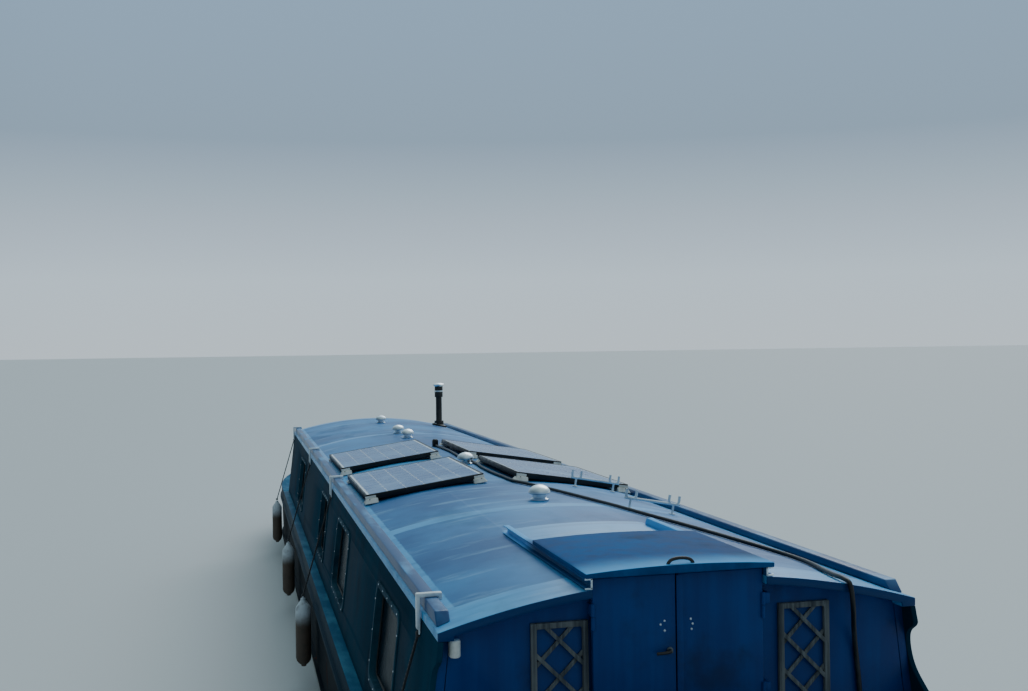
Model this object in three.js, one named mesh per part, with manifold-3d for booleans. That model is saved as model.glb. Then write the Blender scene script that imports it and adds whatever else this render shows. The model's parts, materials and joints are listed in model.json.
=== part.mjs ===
// A canal narrowboat with a cruiser stern, moored, as an assembly of separate pieces.
// Millimetres. +X is starboard, +Y is forward to the bow, +Z is up.
// The origin is on the underside of the base plate, on the centreline, midway along the hull.

import * as THREE from 'three';
import { mergeVertices } from 'three/addons/utils/BufferGeometryUtils.js';
import Module from 'manifold-3d';

const wasm = await Module();
wasm.setup();

// Driving dimensions of the hull
const HULL_LENGTH = 13700;
const HULL_HALF_TOP = 1015;
const HULL_HALF_BASE = 985;
const BASE_THICKNESS = 15;
const WALL = 50;
const GUNWALE_Z = 1260;
const GUNWALE_FLANGE = 15;
const STRAKE_DEPTH = 20;
const STRAKE_HEIGHT = 32;
const STRAKE_CHAMFER = 4;
const UPPER_STRAKE_Z = 1120;
const LOWER_STRAKE_Z = 700;
const GAP = 0.3;

// Driving dimensions of the cabin
const ROOF_AFT = -5340;
const ROOF_LENGTH = 9400;
const ROOF_OVERHANG = 30;
const BULKHEAD_SETBACK = 62;
const SIDE_HEIGHT = 670;
const SIDE_FOOT_HALF = 957;
const SIDE_LEAN = 0.115;
const ROOF_CAMBER = 129;
const ROOF_THICKNESS = 30;
const FLOOR_TOP = 165;

// Driving dimensions of the stern and of the bow
const DECK_THICKNESS = 25;
const DECK_DROP = 105;
const COUNTER_BOTTOM = 480;
const STERN_STRAIGHT_END = -6050;
const PROPELLER_RADIUS = 205;
const PROPELLER_Z = 250;
const RUDDER_AXIS_Y = -6560;
const WELL_FLOOR_Z = 660;
const WELL_END = 5260;

// Levels and lines that follow from them
const STERN_END = -HULL_LENGTH / 2;
const BOW_END = HULL_LENGTH / 2 - 50;
const ROOF_FRONT = ROOF_AFT + ROOF_LENGTH;
const EDGE_Z = GUNWALE_Z + SIDE_HEIGHT;
const CROWN_Z = EDGE_Z + ROOF_CAMBER;
const ROOF_HALF = SIDE_FOOT_HALF - SIDE_LEAN * (SIDE_HEIGHT - ROOF_THICKNESS);
const ROOF_RADIUS = (ROOF_HALF ** 2 + ROOF_CAMBER ** 2) / (2 * ROOF_CAMBER);
const EAVE_INNER = ROOF_HALF - 55;
const REAR_FACE = ROOF_AFT + BULKHEAD_SETBACK;
const FRONT_FACE = ROOF_FRONT - ROOF_OVERHANG;
const BOW_START = FRONT_FACE;
const DECK_TOP = GUNWALE_Z - DECK_DROP;
const DECK_UNDERSIDE = DECK_TOP - DECK_THICKNESS;

const DEGREE = Math.PI / 180;

const paint = (color, roughness, metalness = 0.1) =>
  new THREE.MeshStandardMaterial({ color, roughness, metalness });

const navy = () => paint(0x1c3f73, 0.45);
const slate = () => paint(0x33536b, 0.5);
const roofBlue = () => paint(0x8fa9bd, 0.4);
const railBlue = () => paint(0x6f9fcc, 0.4);
const hullBlack = () => paint(0x1b1d20, 0.7);
const cream = () => paint(0xe6e2d2, 0.5);
const steel = () => paint(0x9aa0a4, 0.35, 0.9);
const glass = () => paint(0x26323a, 0.1, 0.0);
const timber = () => paint(0x8a8074, 0.8, 0);
const rope = () => paint(0x23252a, 0.9, 0);

// Turns a closed geometry into a solid for joining and cutting.
function solid(geometry) {
  const plain = geometry.clone();
  plain.deleteAttribute('normal');
  plain.deleteAttribute('uv');
  const merged = mergeVertices(plain, 1e-3);
  return new wasm.Manifold(new wasm.Mesh({
    numProp: 3,
    vertProperties: new Float32Array(merged.attributes.position.array),
    triVerts: new Uint32Array(merged.index.array),
  }));
}

function geometryOf(body) {
  const mesh = body.getMesh();
  const geometry = new THREE.BufferGeometry();
  geometry.setAttribute('position', new THREE.BufferAttribute(new Float32Array(mesh.vertProperties), 3));
  geometry.setIndex(new THREE.BufferAttribute(new Uint32Array(mesh.triVerts), 1));
  geometry.computeVertexNormals();
  return geometry;
}

const join = (...shapes) => geometryOf(shapes.map(solid).reduce((sum, next) => sum.add(next)));
const cut = (shape, ...tools) =>
  geometryOf(tools.map(solid).reduce((rest, tool) => rest.subtract(tool), solid(shape)));

const outline = (points) => new THREE.Shape(points.map(([a, b]) => new THREE.Vector2(a, b)));

function extrude(shape, depth) {
  return new THREE.ExtrudeGeometry(shape, { depth, bevelEnabled: false, curveSegments: 6 });
}

// An outline in X and Z, drawn out along Y.
function alongY(points, y0, y1, holes = []) {
  const shape = outline(points);
  shape.holes = holes.map(outline);
  return extrude(shape, y1 - y0).rotateX(Math.PI / 2).translate(0, y1, 0);
}

// An outline in Y and Z, drawn out along X.
function alongX(points, x0, x1, holes = []) {
  const shape = outline(points);
  shape.holes = holes.map(outline);
  const turn = new THREE.Matrix4().makeBasis(
    new THREE.Vector3(0, 1, 0), new THREE.Vector3(0, 0, 1), new THREE.Vector3(1, 0, 0));
  return extrude(shape, x1 - x0).applyMatrix4(turn).translate(x0, 0, 0);
}

// An outline in X and Y, drawn out upwards.
function alongZ(points, z0, z1, holes = []) {
  const shape = outline(points);
  shape.holes = holes.map(outline);
  return extrude(shape, z1 - z0).translate(0, 0, z0);
}

function block(x0, x1, y0, y1, z0, z1) {
  return new THREE.BoxGeometry(x1 - x0, y1 - y0, z1 - z0)
    .translate((x0 + x1) / 2, (y0 + y1) / 2, (z0 + z1) / 2);
}

function post(radius, x, y, z0, z1, sides = 16) {
  return new THREE.CylinderGeometry(radius, radius, z1 - z0, sides)
    .rotateX(Math.PI / 2).translate(x, y, (z0 + z1) / 2);
}

// A round bar along a smooth curve through a few points, with as many steps in each span between two.
function bar(radius, points, stepsPerSpan, sides = 8) {
  const curve = new THREE.CatmullRomCurve3(points.map((p) => new THREE.Vector3(...p)), false, 'centripetal');
  curve.getUtoTmapping = (along) => along;
  const steps = stepsPerSpan * (points.length - 1);
  const ring = new THREE.Shape();
  for (let i = 0; i < sides; i += 1) {
    const angle = (2 * Math.PI * i) / sides;
    const method = i === 0 ? 'moveTo' : 'lineTo';
    ring[method](radius * Math.cos(angle), radius * Math.sin(angle));
  }
  ring.closePath();
  return new THREE.ExtrudeGeometry(ring, { steps, extrudePath: curve, bevelEnabled: false });
}

// A body of revolution about Z, from a profile of radius and height that starts and ends on the axis.
function turned(profile, sides = 20) {
  return new THREE.LatheGeometry(profile.map(([r, z]) => new THREE.Vector2(r, z)), sides).rotateX(Math.PI / 2);
}

// A closed skin over rings of points, each ring convex and with the same number of points.
function loft(rings) {
  const count = rings[0].length;
  const vertices = rings.flat(2);
  const faces = [];
  for (let r = 0; r < rings.length - 1; r += 1) {
    for (let i = 0; i < count; i += 1) {
      const a = r * count + i;
      const b = r * count + ((i + 1) % count);
      faces.push(a, b, b + count, a, b + count, a + count);
    }
  }
  const last = (rings.length - 1) * count;
  for (let i = 1; i < count - 1; i += 1) {
    faces.push(0, i + 1, i, last, last + i, last + i + 1);
  }
  const geometry = new THREE.BufferGeometry();
  geometry.setAttribute('position', new THREE.Float32BufferAttribute(vertices, 3));
  geometry.setIndex(faces);
  return geometry;
}

const group = new THREE.Group();
group.name = 'narrowboat';

function piece(name, geometry, material, parent = group) {
  const mesh = new THREE.Mesh(geometry, material);
  mesh.name = name;
  parent.add(mesh);
  return mesh;
}

const SIDES = [['port', -1], ['starboard', 1]];
const mirrored = (points, sign) => points.map(([x, other]) => [sign * x, other]);
const roofTop = (x) => CROWN_Z - (ROOF_RADIUS - Math.sqrt(ROOF_RADIUS ** 2 - x ** 2));
const UNDER_RADIUS = ROOF_RADIUS - ROOF_THICKNESS;
const roofUnder = (x) => CROWN_Z - ROOF_THICKNESS - (UNDER_RADIUS - Math.sqrt(UNDER_RADIUS ** 2 - x ** 2));

// Hull
const hull = new THREE.Group();
group.add(hull);

// The swim: half-width of the lower hull at the stations where it narrows to the stern tube.
// Columns: y, half-width.
const SWIM = [
  [REAR_FACE, HULL_HALF_BASE],
  [-5520, 880],
  [-5780, 640],
  [-6030, 360],
  [-6220, 150],
  [-6300, 50],
];
const SWIM_END = SWIM[SWIM.length - 1][0];
const SKEG_END = -6640;
const SKEG_HALF = 35;

// The bow, station by station. Columns: y, half-width at the gunwale, half-width at the base, gunwale height.
const BOW = [
  [BOW_START, HULL_HALF_TOP, HULL_HALF_BASE, GUNWALE_Z],
  [4700, 1008, 965, GUNWALE_Z + 8],
  [WELL_END, 930, 835, GUNWALE_Z + 28],
  [5850, 730, 570, GUNWALE_Z + 58],
  [6330, 440, 270, GUNWALE_Z + 90],
  [6640, 180, 80, GUNWALE_Z + 115],
  [BOW_END, 45, 20, GUNWALE_Z + 130],
];

function basePlate() {
  const port = [
    [-SKEG_HALF, SKEG_END],
    [-SKEG_HALF, SWIM_END],
    ...SWIM.slice().reverse().map(([y, half]) => [-half, y]),
    ...BOW.map(([y, , half]) => [-half, y]),
  ];
  const starboard = port.map(([x, y]) => [-x, y]).reverse();
  return alongZ([...port, ...starboard], 0, BASE_THICKNESS);
}
piece('base_plate', basePlate(), hullBlack(), hull);

const hullHalf = (z) =>
  HULL_HALF_BASE + ((HULL_HALF_TOP - HULL_HALF_BASE) * (z - BASE_THICKNESS)) / (GUNWALE_Z - BASE_THICKNESS);
const FLANGE_HALF = SIDE_FOOT_HALF - WALL - 7;

// One hull side in section: plate, two rubbing strakes and the gunwale that the cabin stands on.
function hullSection() {
  const strake = (z) => [
    [hullHalf(z), z],
    [hullHalf(z) + STRAKE_DEPTH, z + STRAKE_CHAMFER],
    [hullHalf(z) + STRAKE_DEPTH, z + STRAKE_HEIGHT - STRAKE_CHAMFER],
    [hullHalf(z + STRAKE_HEIGHT), z + STRAKE_HEIGHT],
  ];
  return [
    [HULL_HALF_BASE, BASE_THICKNESS],
    ...strake(LOWER_STRAKE_Z),
    ...strake(UPPER_STRAKE_Z),
    [HULL_HALF_TOP, GUNWALE_Z],
    [FLANGE_HALF, GUNWALE_Z],
    [FLANGE_HALF, GUNWALE_Z - GUNWALE_FLANGE],
    [hullHalf(GUNWALE_Z - GUNWALE_FLANGE) - WALL, GUNWALE_Z - GUNWALE_FLANGE],
    [HULL_HALF_BASE - WALL, BASE_THICKNESS],
  ];
}
for (const [side, sign] of SIDES) {
  piece(`hull_side_${side}`, alongY(mirrored(hullSection(), sign), REAR_FACE, BOW_START), hullBlack(), hull);
}

// The bow shell is decked forward of an open well, with a locker under its lid.
// The well's side. Columns: half-width, y.
const WELL_SIDE = [[925, BOW_START - 1], [905, 4700], [830, WELL_END]];
const LOCKER = { aft: 5430, front: 5950, half: 300, floor: 900 };
const STUD = { y: 6180, radius: 22, barLevel: 100, barRadius: 16, barLength: 190 };
const ABOVE_HULL = GUNWALE_Z + 200;
const bowTop = (y) => {
  const i = BOW.findIndex(([station]) => station >= y);
  const [y0, , , z0] = BOW[i - 1];
  const [y1, , , z1] = BOW[i];
  return z0 + ((z1 - z0) * (y - y0)) / (y1 - y0);
};

// The rubbing strakes rise with the sheer of the bow. Columns: level amidships, share of the sheer.
const BOW_STRAKES = [[LOWER_STRAKE_Z, 0.6], [UPPER_STRAKE_Z, 1]];
function bowStrake(level, share, sign) {
  const bedded = 5;
  return loft(BOW.map(([y, top, base, z]) => {
    const half = (height) => base + ((top - base) * (height - BASE_THICKNESS)) / (z - BASE_THICKNESS);
    const low = level + share * (z - GUNWALE_Z);
    const high = low + STRAKE_HEIGHT;
    const ring = [
      [half(low) - bedded, low],
      [half(low) + STRAKE_DEPTH, low + STRAKE_CHAMFER],
      [half(low) + STRAKE_DEPTH, high - STRAKE_CHAMFER],
      [half(high) - bedded, high],
    ].map(([x, height]) => [sign * x, y + GAP, height]);
    return sign > 0 ? ring.reverse() : ring;
  }));
}

function bowShell() {
  const skin = loft(BOW.map(([y, top, base, z]) => [
    [-base, y + GAP, BASE_THICKNESS],
    [-top, y + GAP, z],
    [top, y + GAP, z],
    [base, y + GAP, BASE_THICKNESS],
  ]));
  const strakes = SIDES.flatMap(([, sign]) =>
    BOW_STRAKES.map(([level, share]) => bowStrake(level, share, sign)));
  const wellOutline = [...WELL_SIDE, ...mirrored(WELL_SIDE, -1).reverse()];
  const well = alongZ(wellOutline, WELL_FLOOR_Z, ABOVE_HULL);
  const locker = block(-LOCKER.half, LOCKER.half, LOCKER.aft, LOCKER.front, LOCKER.floor, ABOVE_HULL);
  const deck = bowTop(STUD.y);
  const stud = join(
    post(STUD.radius, 0, STUD.y, deck - 20, deck + STUD.barLevel + 10),
    new THREE.CylinderGeometry(STUD.barRadius, STUD.barRadius, STUD.barLength, 12)
      .rotateZ(Math.PI / 2).translate(0, STUD.y, deck + STUD.barLevel),
  );
  return join(cut(join(skin, ...strakes), well, locker), stud);
}
piece('bow_shell', bowShell(), hullBlack(), hull);

// The stern shell: a counter with a round end, over the swim that tapers to the stern tube.
const STERN_STEPS = 14;
function sternOutline(inset, front = REAR_FACE - GAP) {
  const half = HULL_HALF_TOP - inset;
  const depth = STERN_STRAIGHT_END - STERN_END - inset;
  const points = [[half, front], [half, STERN_STRAIGHT_END]];
  for (let i = 1; i < STERN_STEPS; i += 1) {
    const angle = (Math.PI * i) / STERN_STEPS;
    points.push([half * Math.cos(angle), STERN_STRAIGHT_END - depth * Math.sin(angle)]);
  }
  points.push([-half, STERN_STRAIGHT_END], [-half, front]);
  return points;
}
const RIM = 56;
const BAY = { front: REAR_FACE - 60, aft: -6380, half: 820, floor: COUNTER_BOTTOM + 20 };
const PIT = { front: REAR_FACE - 60, aft: -5960, half: 300, floor: 300 };
const SHAFT_RADIUS = 22;
const SHAFT_SIDES = 16;
const STERN_TUBE = { radius: 45, length: 120, overhang: 30 };
const STOCK_RADIUS = 22;

// The counter flares like the hull sides and carries on their rubbing strakes.
function counter() {
  const ring = (z, proud) =>
    sternOutline(HULL_HALF_TOP - hullHalf(z) - proud).reverse().map(([x, y]) => [x, y, z]);
  const strake = (z) => [
    ring(z, 0),
    ring(z + STRAKE_CHAMFER, STRAKE_DEPTH),
    ring(z + STRAKE_HEIGHT - STRAKE_CHAMFER, STRAKE_DEPTH),
    ring(z + STRAKE_HEIGHT, 0),
  ];
  return loft([
    ring(COUNTER_BOTTOM, 0), ...strake(LOWER_STRAKE_Z), ...strake(UPPER_STRAKE_Z), ring(GUNWALE_Z, 0),
  ]);
}

function sternShell() {
  const swimSide = SWIM.map(([y, half], i) => [half, i === 0 ? y - GAP : y]);
  const swimOutline = [...swimSide, ...swimSide.slice().reverse().map(([x, y]) => [-x, y])];
  const swim = alongZ(swimOutline, BASE_THICKNESS, COUNTER_BOTTOM + 10);
  const tube = new THREE.CylinderGeometry(STERN_TUBE.radius, STERN_TUBE.radius, STERN_TUBE.length, 16)
    .translate(0, SWIM_END + STERN_TUBE.length / 2 - STERN_TUBE.overhang, PROPELLER_Z);
  const boreRadius = (SHAFT_RADIUS + GAP) / Math.cos(Math.PI / SHAFT_SIDES);
  const bore = new THREE.CylinderGeometry(boreRadius, boreRadius, 200, SHAFT_SIDES)
    .translate(0, SWIM_END - STERN_TUBE.overhang, PROPELLER_Z);
  const deckRecess = alongZ(sternOutline(RIM, REAR_FACE + 1), DECK_UNDERSIDE, ABOVE_HULL);
  const bay = block(-BAY.half, BAY.half, BAY.aft, BAY.front, BAY.floor, GUNWALE_Z);
  const pit = block(-PIT.half, PIT.half, PIT.aft, PIT.front, PIT.floor, GUNWALE_Z);
  const stockHole = post(STOCK_RADIUS + 3, 0, RUDDER_AXIS_Y, 0, GUNWALE_Z);
  return cut(join(counter(), swim, tube), bore, deckRecess, bay, pit, stockHole);
}
piece('stern_shell', sternShell(), hullBlack(), hull);

// Cabin
const cabin = new THREE.Group();
group.add(cabin);

piece('cabin_floor',
  block(-HULL_HALF_BASE + WALL + GAP, HULL_HALF_BASE - WALL - GAP,
    REAR_FACE + WALL + GAP, FRONT_FACE - WALL - GAP, BASE_THICKNESS, FLOOR_TOP),
  timber(), cabin);

// Windows, the same on both sides. Columns: number, aft edge, front edge, all measured from the roof's aft end.
const WINDOWS = [
  ['1', 810, 1480],
  ['2', 2810, 3520],
  ['3', 4330, 4880],
  ['4', 6900, 7610],
];
const WINDOW_BOTTOM = EDGE_Z - 542;
const WINDOW_TOP = EDGE_Z - 142;
const FRAME_WIDTH = 26;
const FRAME_PROUD = 7;
const PANE_THICKNESS = 8;

function roundedRectangle(y0, y1, z0, z1, radius) {
  const corners = [[y1 - radius, z1 - radius, 0], [y0 + radius, z1 - radius, 90],
    [y0 + radius, z0 + radius, 180], [y1 - radius, z0 + radius, 270]];
  const points = [];
  for (const [cy, cz, start] of corners) {
    for (const turn of [0, 45, 90]) {
      const angle = (start + turn) * DEGREE;
      points.push([cy + radius * Math.cos(angle), cz + radius * Math.sin(angle)]);
    }
  }
  return points;
}

// The aft edge of a cabin side: straight under the roof, an ogee, then a wing that sweeps down to the gunwale.
// Columns: distance forward of the roof's aft edge, distance below the roof's edge.
const WING = [
  [0, ROOF_THICKNESS],
  [-2, 60],
  [-4, 92],
  [42, 130],
  [55, 154],
  [58, 206],
  [40, 265],
  [-20, 332],
  [-112, 415],
  [-215, 510],
  [-300, 605],
  [-340, SIDE_HEIGHT],
];
const WING_THICKNESS = 20;

// Leans a panel that was drawn upright at the cabin's foot inwards with height.
function lean(geometry, sign) {
  const shear = new THREE.Matrix4().makeShear(0, 0, 0, 0, -sign * SIDE_LEAN, 0);
  return geometry.translate(0, 0, -GUNWALE_Z).applyMatrix4(shear).translate(0, 0, GUNWALE_Z);
}

function cabinSide(sign) {
  const top = EDGE_Z - ROOF_THICKNESS;
  const edge = [
    ...WING.map(([y, drop]) => [ROOF_AFT + y, EDGE_Z - drop]),
    [FRONT_FACE, GUNWALE_Z],
    [FRONT_FACE, top],
  ];
  const holes = WINDOWS.map(([, y0, y1]) =>
    roundedRectangle(ROOF_AFT + y0, ROOF_AFT + y1, WINDOW_BOTTOM, WINDOW_TOP, 45));
  const inner = sign * (SIDE_FOOT_HALF - WALL);
  const outer = sign * SIDE_FOOT_HALF;
  const panel = alongX(edge, Math.min(inner, outer), Math.max(inner, outer), holes);
  const frames = WINDOWS.map(([, y0, y1]) => {
    const a = sign * (SIDE_FOOT_HALF - 20);
    const b = sign * (SIDE_FOOT_HALF + FRAME_PROUD);
    return alongX(
      roundedRectangle(ROOF_AFT + y0 - FRAME_WIDTH, ROOF_AFT + y1 + FRAME_WIDTH,
        WINDOW_BOTTOM - FRAME_WIDTH, WINDOW_TOP + FRAME_WIDTH, 60),
      Math.min(a, b), Math.max(a, b),
      [roundedRectangle(ROOF_AFT + y0 + 1, ROOF_AFT + y1 - 1, WINDOW_BOTTOM + 1, WINDOW_TOP - 1, 44)]);
  });
  const behindWing = sign * (SIDE_FOOT_HALF - WING_THICKNESS);
  const wingRelief = block(Math.min(behindWing, inner - sign), Math.max(behindWing, inner - sign),
    ROOF_AFT + WING[WING.length - 1][0] - 1, REAR_FACE, GUNWALE_Z - 1, top + 1);
  return lean(cut(join(panel, ...frames), wingRelief), sign);
}

function windowPane(sign, y0, y1) {
  const a = sign * (SIDE_FOOT_HALF - 30);
  const b = sign * (SIDE_FOOT_HALF - 30 - PANE_THICKNESS);
  return lean(alongX(
    roundedRectangle(ROOF_AFT + y0 + GAP, ROOF_AFT + y1 - GAP, WINDOW_BOTTOM + GAP, WINDOW_TOP - GAP, 45),
    Math.min(a, b), Math.max(a, b)), sign);
}

for (const [side, sign] of SIDES) {
  piece(`cabin_side_${side}`, cabinSide(sign), slate(), cabin);
  for (const [number, y0, y1] of WINDOWS) {
    piece(`window_${side}_${number}`, windowPane(sign, y0, y1), glass(), cabin);
  }
}

// Sliding hatch and the doorway under it. Both stand a little to port of the centreline,
// and the doors' seam a little more.
const DOORWAY_X = -28;
const DOOR_SEAM_X = -36;
const HATCH_HALF = 348;
const HATCH_LENGTH = 700;
const HATCH_UNDERSIDE = EDGE_Z + 147;
const HATCH_EDGE = 17;
const HATCH_CROWN = 14;
const HATCH_OVERHANG = 8;
const APRON_DEPTH = 14;
const GRIP = { radius: 6, half: 48, height: 29, setback: 16 };
const SLOT_HALF = 322;
const SLOT_LENGTH = 640;
const DOOR_HALF = 316;
const SEAM_HALF = 5.5;
const DOOR_THICKNESS = 38;
const DOOR_TOP = HATCH_UNDERSIDE - 7;
const DOOR_BOTTOM = DECK_TOP + 20;
const DOORWAY_HALF = 290;

const arc = (height, from, to, steps) => {
  const points = [];
  for (let i = 0; i <= steps; i += 1) {
    const x = from + ((to - from) * i) / steps;
    points.push([x, height(x)]);
  }
  return points;
};

function cabinRoof() {
  const section = [
    ...arc(roofTop, ROOF_HALF, -ROOF_HALF, 24),
    [-ROOF_HALF, EDGE_Z - ROOF_THICKNESS],
    [-EAVE_INNER, EDGE_Z - ROOF_THICKNESS],
    ...arc(roofUnder, -EAVE_INNER, EAVE_INNER, 20),
    [EAVE_INNER, EDGE_Z - ROOF_THICKNESS],
    [ROOF_HALF, EDGE_Z - ROOF_THICKNESS],
  ];
  const slot = block(DOORWAY_X - SLOT_HALF, DOORWAY_X + SLOT_HALF, ROOF_AFT - 1, ROOF_AFT + SLOT_LENGTH,
    EDGE_Z - 100, CROWN_Z + 100);
  return cut(alongY(section, ROOF_AFT, ROOF_FRONT), slot);
}
piece('cabin_roof', cabinRoof(), roofBlue(), cabin);

// A bulkhead fits inside the hull, the gunwales, the leaning sides and the roof's underside.
function bulkheadOutline() {
  const flangeZ = GUNWALE_Z - GUNWALE_FLANGE - GAP;
  const insideSide = (z) => SIDE_FOOT_HALF - WALL - SIDE_LEAN * (z - GUNWALE_Z) - GAP;
  const under = EDGE_Z - ROOF_THICKNESS - GAP;
  const right = [
    [HULL_HALF_BASE - WALL - GAP, BASE_THICKNESS],
    [hullHalf(flangeZ) - WALL - GAP, flangeZ],
    [FLANGE_HALF - GAP, flangeZ],
    [FLANGE_HALF - GAP, GUNWALE_Z + 20],
    [insideSide(under) - 2, under],
    [EAVE_INNER - 1, under],
  ];
  const top = arc((x) => roofUnder(x) - 2 * GAP, EAVE_INNER - 1, -(EAVE_INNER - 1), 20);
  return [...right, ...top, ...mirrored(right, -1).reverse()];
}

const LAMP = { x0: -841, x1: -803, bottom: EDGE_Z - 90, top: EDGE_Z - 32, depth: 40, bossDepth: 14 };
function rearBulkhead() {
  const plate = alongY(bulkheadOutline(), REAR_FACE, REAR_FACE + WALL);
  const doorway = block(DOORWAY_X - DOORWAY_HALF, DOORWAY_X + DOORWAY_HALF, REAR_FACE - 1, REAR_FACE + WALL + 1,
    DOOR_BOTTOM + 15, CROWN_Z + 50);
  const lampBoss = block(LAMP.x0 + 8, LAMP.x1 - 8, REAR_FACE - LAMP.bossDepth, REAR_FACE + 5,
    LAMP.bottom + 12, LAMP.top - 12);
  return join(cut(plate, doorway), lampBoss);
}
piece('rear_bulkhead', rearBulkhead(), navy(), cabin);

const FRONT_DOOR = { bottom: WELL_FLOOR_Z + 40, top: EDGE_Z - 130, half: 314 };
function frontBulkhead() {
  const plate = alongY(bulkheadOutline(), FRONT_FACE - WALL, FRONT_FACE);
  const doorway = block(-DOORWAY_HALF, DOORWAY_HALF, FRONT_FACE - WALL - 1, FRONT_FACE + 1,
    FRONT_DOOR.bottom + 20, FRONT_DOOR.top - 20);
  return cut(plate, doorway);
}
piece('front_bulkhead', frontBulkhead(), navy(), cabin);

// Doors. A leaf runs from its pair's seam to the pair's edge.
const leaf = (seam, middle, half, sign) =>
  [seam + sign * SEAM_HALF, middle + sign * half].sort((a, b) => a - b);
for (const [side, sign] of SIDES) {
  const rear = leaf(DOOR_SEAM_X, DOORWAY_X, DOOR_HALF, sign);
  const front = leaf(0, 0, FRONT_DOOR.half, sign);
  piece(`rear_door_${side}`,
    block(...rear, REAR_FACE - DOOR_THICKNESS, REAR_FACE - GAP, DOOR_BOTTOM, DOOR_TOP), navy(), cabin);
  piece(`front_door_${side}`,
    block(...front, FRONT_FACE + GAP, FRONT_FACE + DOOR_THICKNESS, FRONT_DOOR.bottom, FRONT_DOOR.top),
    navy(), cabin);
}

function hatch() {
  const top = HATCH_UNDERSIDE + HATCH_EDGE;
  const crown = (x) => top + HATCH_CROWN * (1 - (x / HATCH_HALF) ** 2);
  const section = [
    ...arc(crown, HATCH_HALF, -HATCH_HALF, 10),
    [-HATCH_HALF, HATCH_UNDERSIDE],
    [HATCH_HALF, HATCH_UNDERSIDE],
  ];
  const aft = ROOF_AFT - HATCH_OVERHANG;
  const slab = alongY(section, aft, aft + HATCH_LENGTH + HATCH_OVERHANG);
  const front = ROOF_AFT + HATCH_LENGTH;
  const apron = block(-SLOT_HALF + 8, SLOT_HALF - 8, front - APRON_DEPTH, front,
    CROWN_Z + 6, HATCH_UNDERSIDE + 2);
  const gripY = aft + GRIP.setback;
  const gripHalf = [
    [-GRIP.half, gripY, top + GRIP.radius],
    [-GRIP.half + 4, gripY, top + GRIP.height - 11],
    [-GRIP.half / 2, gripY, top + GRIP.height],
  ];
  const grip = bar(GRIP.radius, [...gripHalf, ...gripHalf.map(([x, y, z]) => [-x, y, z]).reverse()], 3);
  return join(slab, apron, grip).translate(DOORWAY_X, 0, 0);
}
piece('hatch', hatch(), navy(), cabin);

// Slopes the end of a rail back by its rake between two levels.
// The way is -1 at the aft end and 1 at the front.
function raked(geometry, y, way, rake, low, high) {
  return cut(geometry,
    alongX([[y + way, low], [y, low], [y - way * rake, high], [y + way, high]], -ROOF_HALF, ROOF_HALF));
}

// Hatch runners: channels that open outboard
const RUNNER_WEB = 5;
const RUNNER_LENGTH = 1290;
const RUNNER_RAKE = 90;
for (const [side, sign] of SIDES) {
  const foot = roofTop(DOORWAY_X + sign * SLOT_HALF) + GAP;
  const head = HATCH_UNDERSIDE - GAP;
  const web = SLOT_HALF;
  const tip = HATCH_HALF;
  const section = [
    [web, foot], [tip, foot], [tip, foot + RUNNER_WEB], [web + RUNNER_WEB, foot + RUNNER_WEB],
    [web + RUNNER_WEB, head - RUNNER_WEB], [tip, head - RUNNER_WEB], [tip, head], [web, head],
  ];
  const front = ROOF_AFT + RUNNER_LENGTH;
  const runner = alongY(mirrored(section, sign), ROOF_AFT + 3, front).translate(DOORWAY_X, 0, 0);
  piece(`hatch_runner_${side}`, raked(runner, front, 1, RUNNER_RAKE, EDGE_Z, HATCH_UNDERSIDE), navy(), cabin);
}

// Handrails along the roof's edges, with raked ends
const RAIL_OUTER = ROOF_HALF - 8;
const RAIL_WIDTH = 50;
const RAIL_TOP = EDGE_Z + 49;
const RAIL_AFT = ROOF_AFT + 62;
const RAIL_RAKE = 50;
for (const [side, sign] of SIDES) {
  const inner = RAIL_OUTER - RAIL_WIDTH;
  const section = [
    [RAIL_OUTER, roofTop(RAIL_OUTER) + GAP],
    [RAIL_OUTER, RAIL_TOP - 6],
    [RAIL_OUTER - 6, RAIL_TOP],
    [inner + 6, RAIL_TOP],
    [inner, RAIL_TOP - 6],
    [inner, roofTop(inner) + GAP],
  ];
  const rail = alongY(mirrored(section, sign), RAIL_AFT, ROOF_FRONT);
  const aftRaked = raked(rail, RAIL_AFT, -1, RAIL_RAKE, EDGE_Z, RAIL_TOP + 1);
  piece(`handrail_${side}`, raked(aftRaked, ROOF_FRONT, 1, RAIL_RAKE, EDGE_Z, RAIL_TOP + 1), railBlue(), cabin);
}

// Stern
const stern = new THREE.Group();
group.add(stern);

const LID = { x0: -305, x1: 305, y0: -6160, y1: -5665, thickness: 12, seat: 30 };
const ENGINE = { half: 240, aft: -5900, front: -5400, top: 900 };
function sternDeck() {
  const plate = alongZ(sternOutline(RIM + 1), DECK_UNDERSIDE, DECK_TOP);
  const opening = block(LID.x0 + LID.seat, LID.x1 - LID.seat, LID.y0 + LID.seat, LID.y1 - LID.seat,
    DECK_UNDERSIDE - 5, DECK_TOP + 5);
  const stockHole = post(STOCK_RADIUS + 6, 0, RUDDER_AXIS_Y, DECK_UNDERSIDE - 5, DECK_TOP + 5);
  return cut(plate, opening, stockHole);
}
piece('stern_deck', sternDeck(), slate(), stern);
piece('engine_hatch_lid',
  block(LID.x0, LID.x1, LID.y0, LID.y1, DECK_TOP + GAP, DECK_TOP + GAP + LID.thickness), slate(), stern);
piece('engine_block',
  block(-ENGINE.half, ENGINE.half, ENGINE.aft, ENGINE.front, PIT.floor + GAP, ENGINE.top),
  paint(0x3f5f4a, 0.6), stern);

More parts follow.
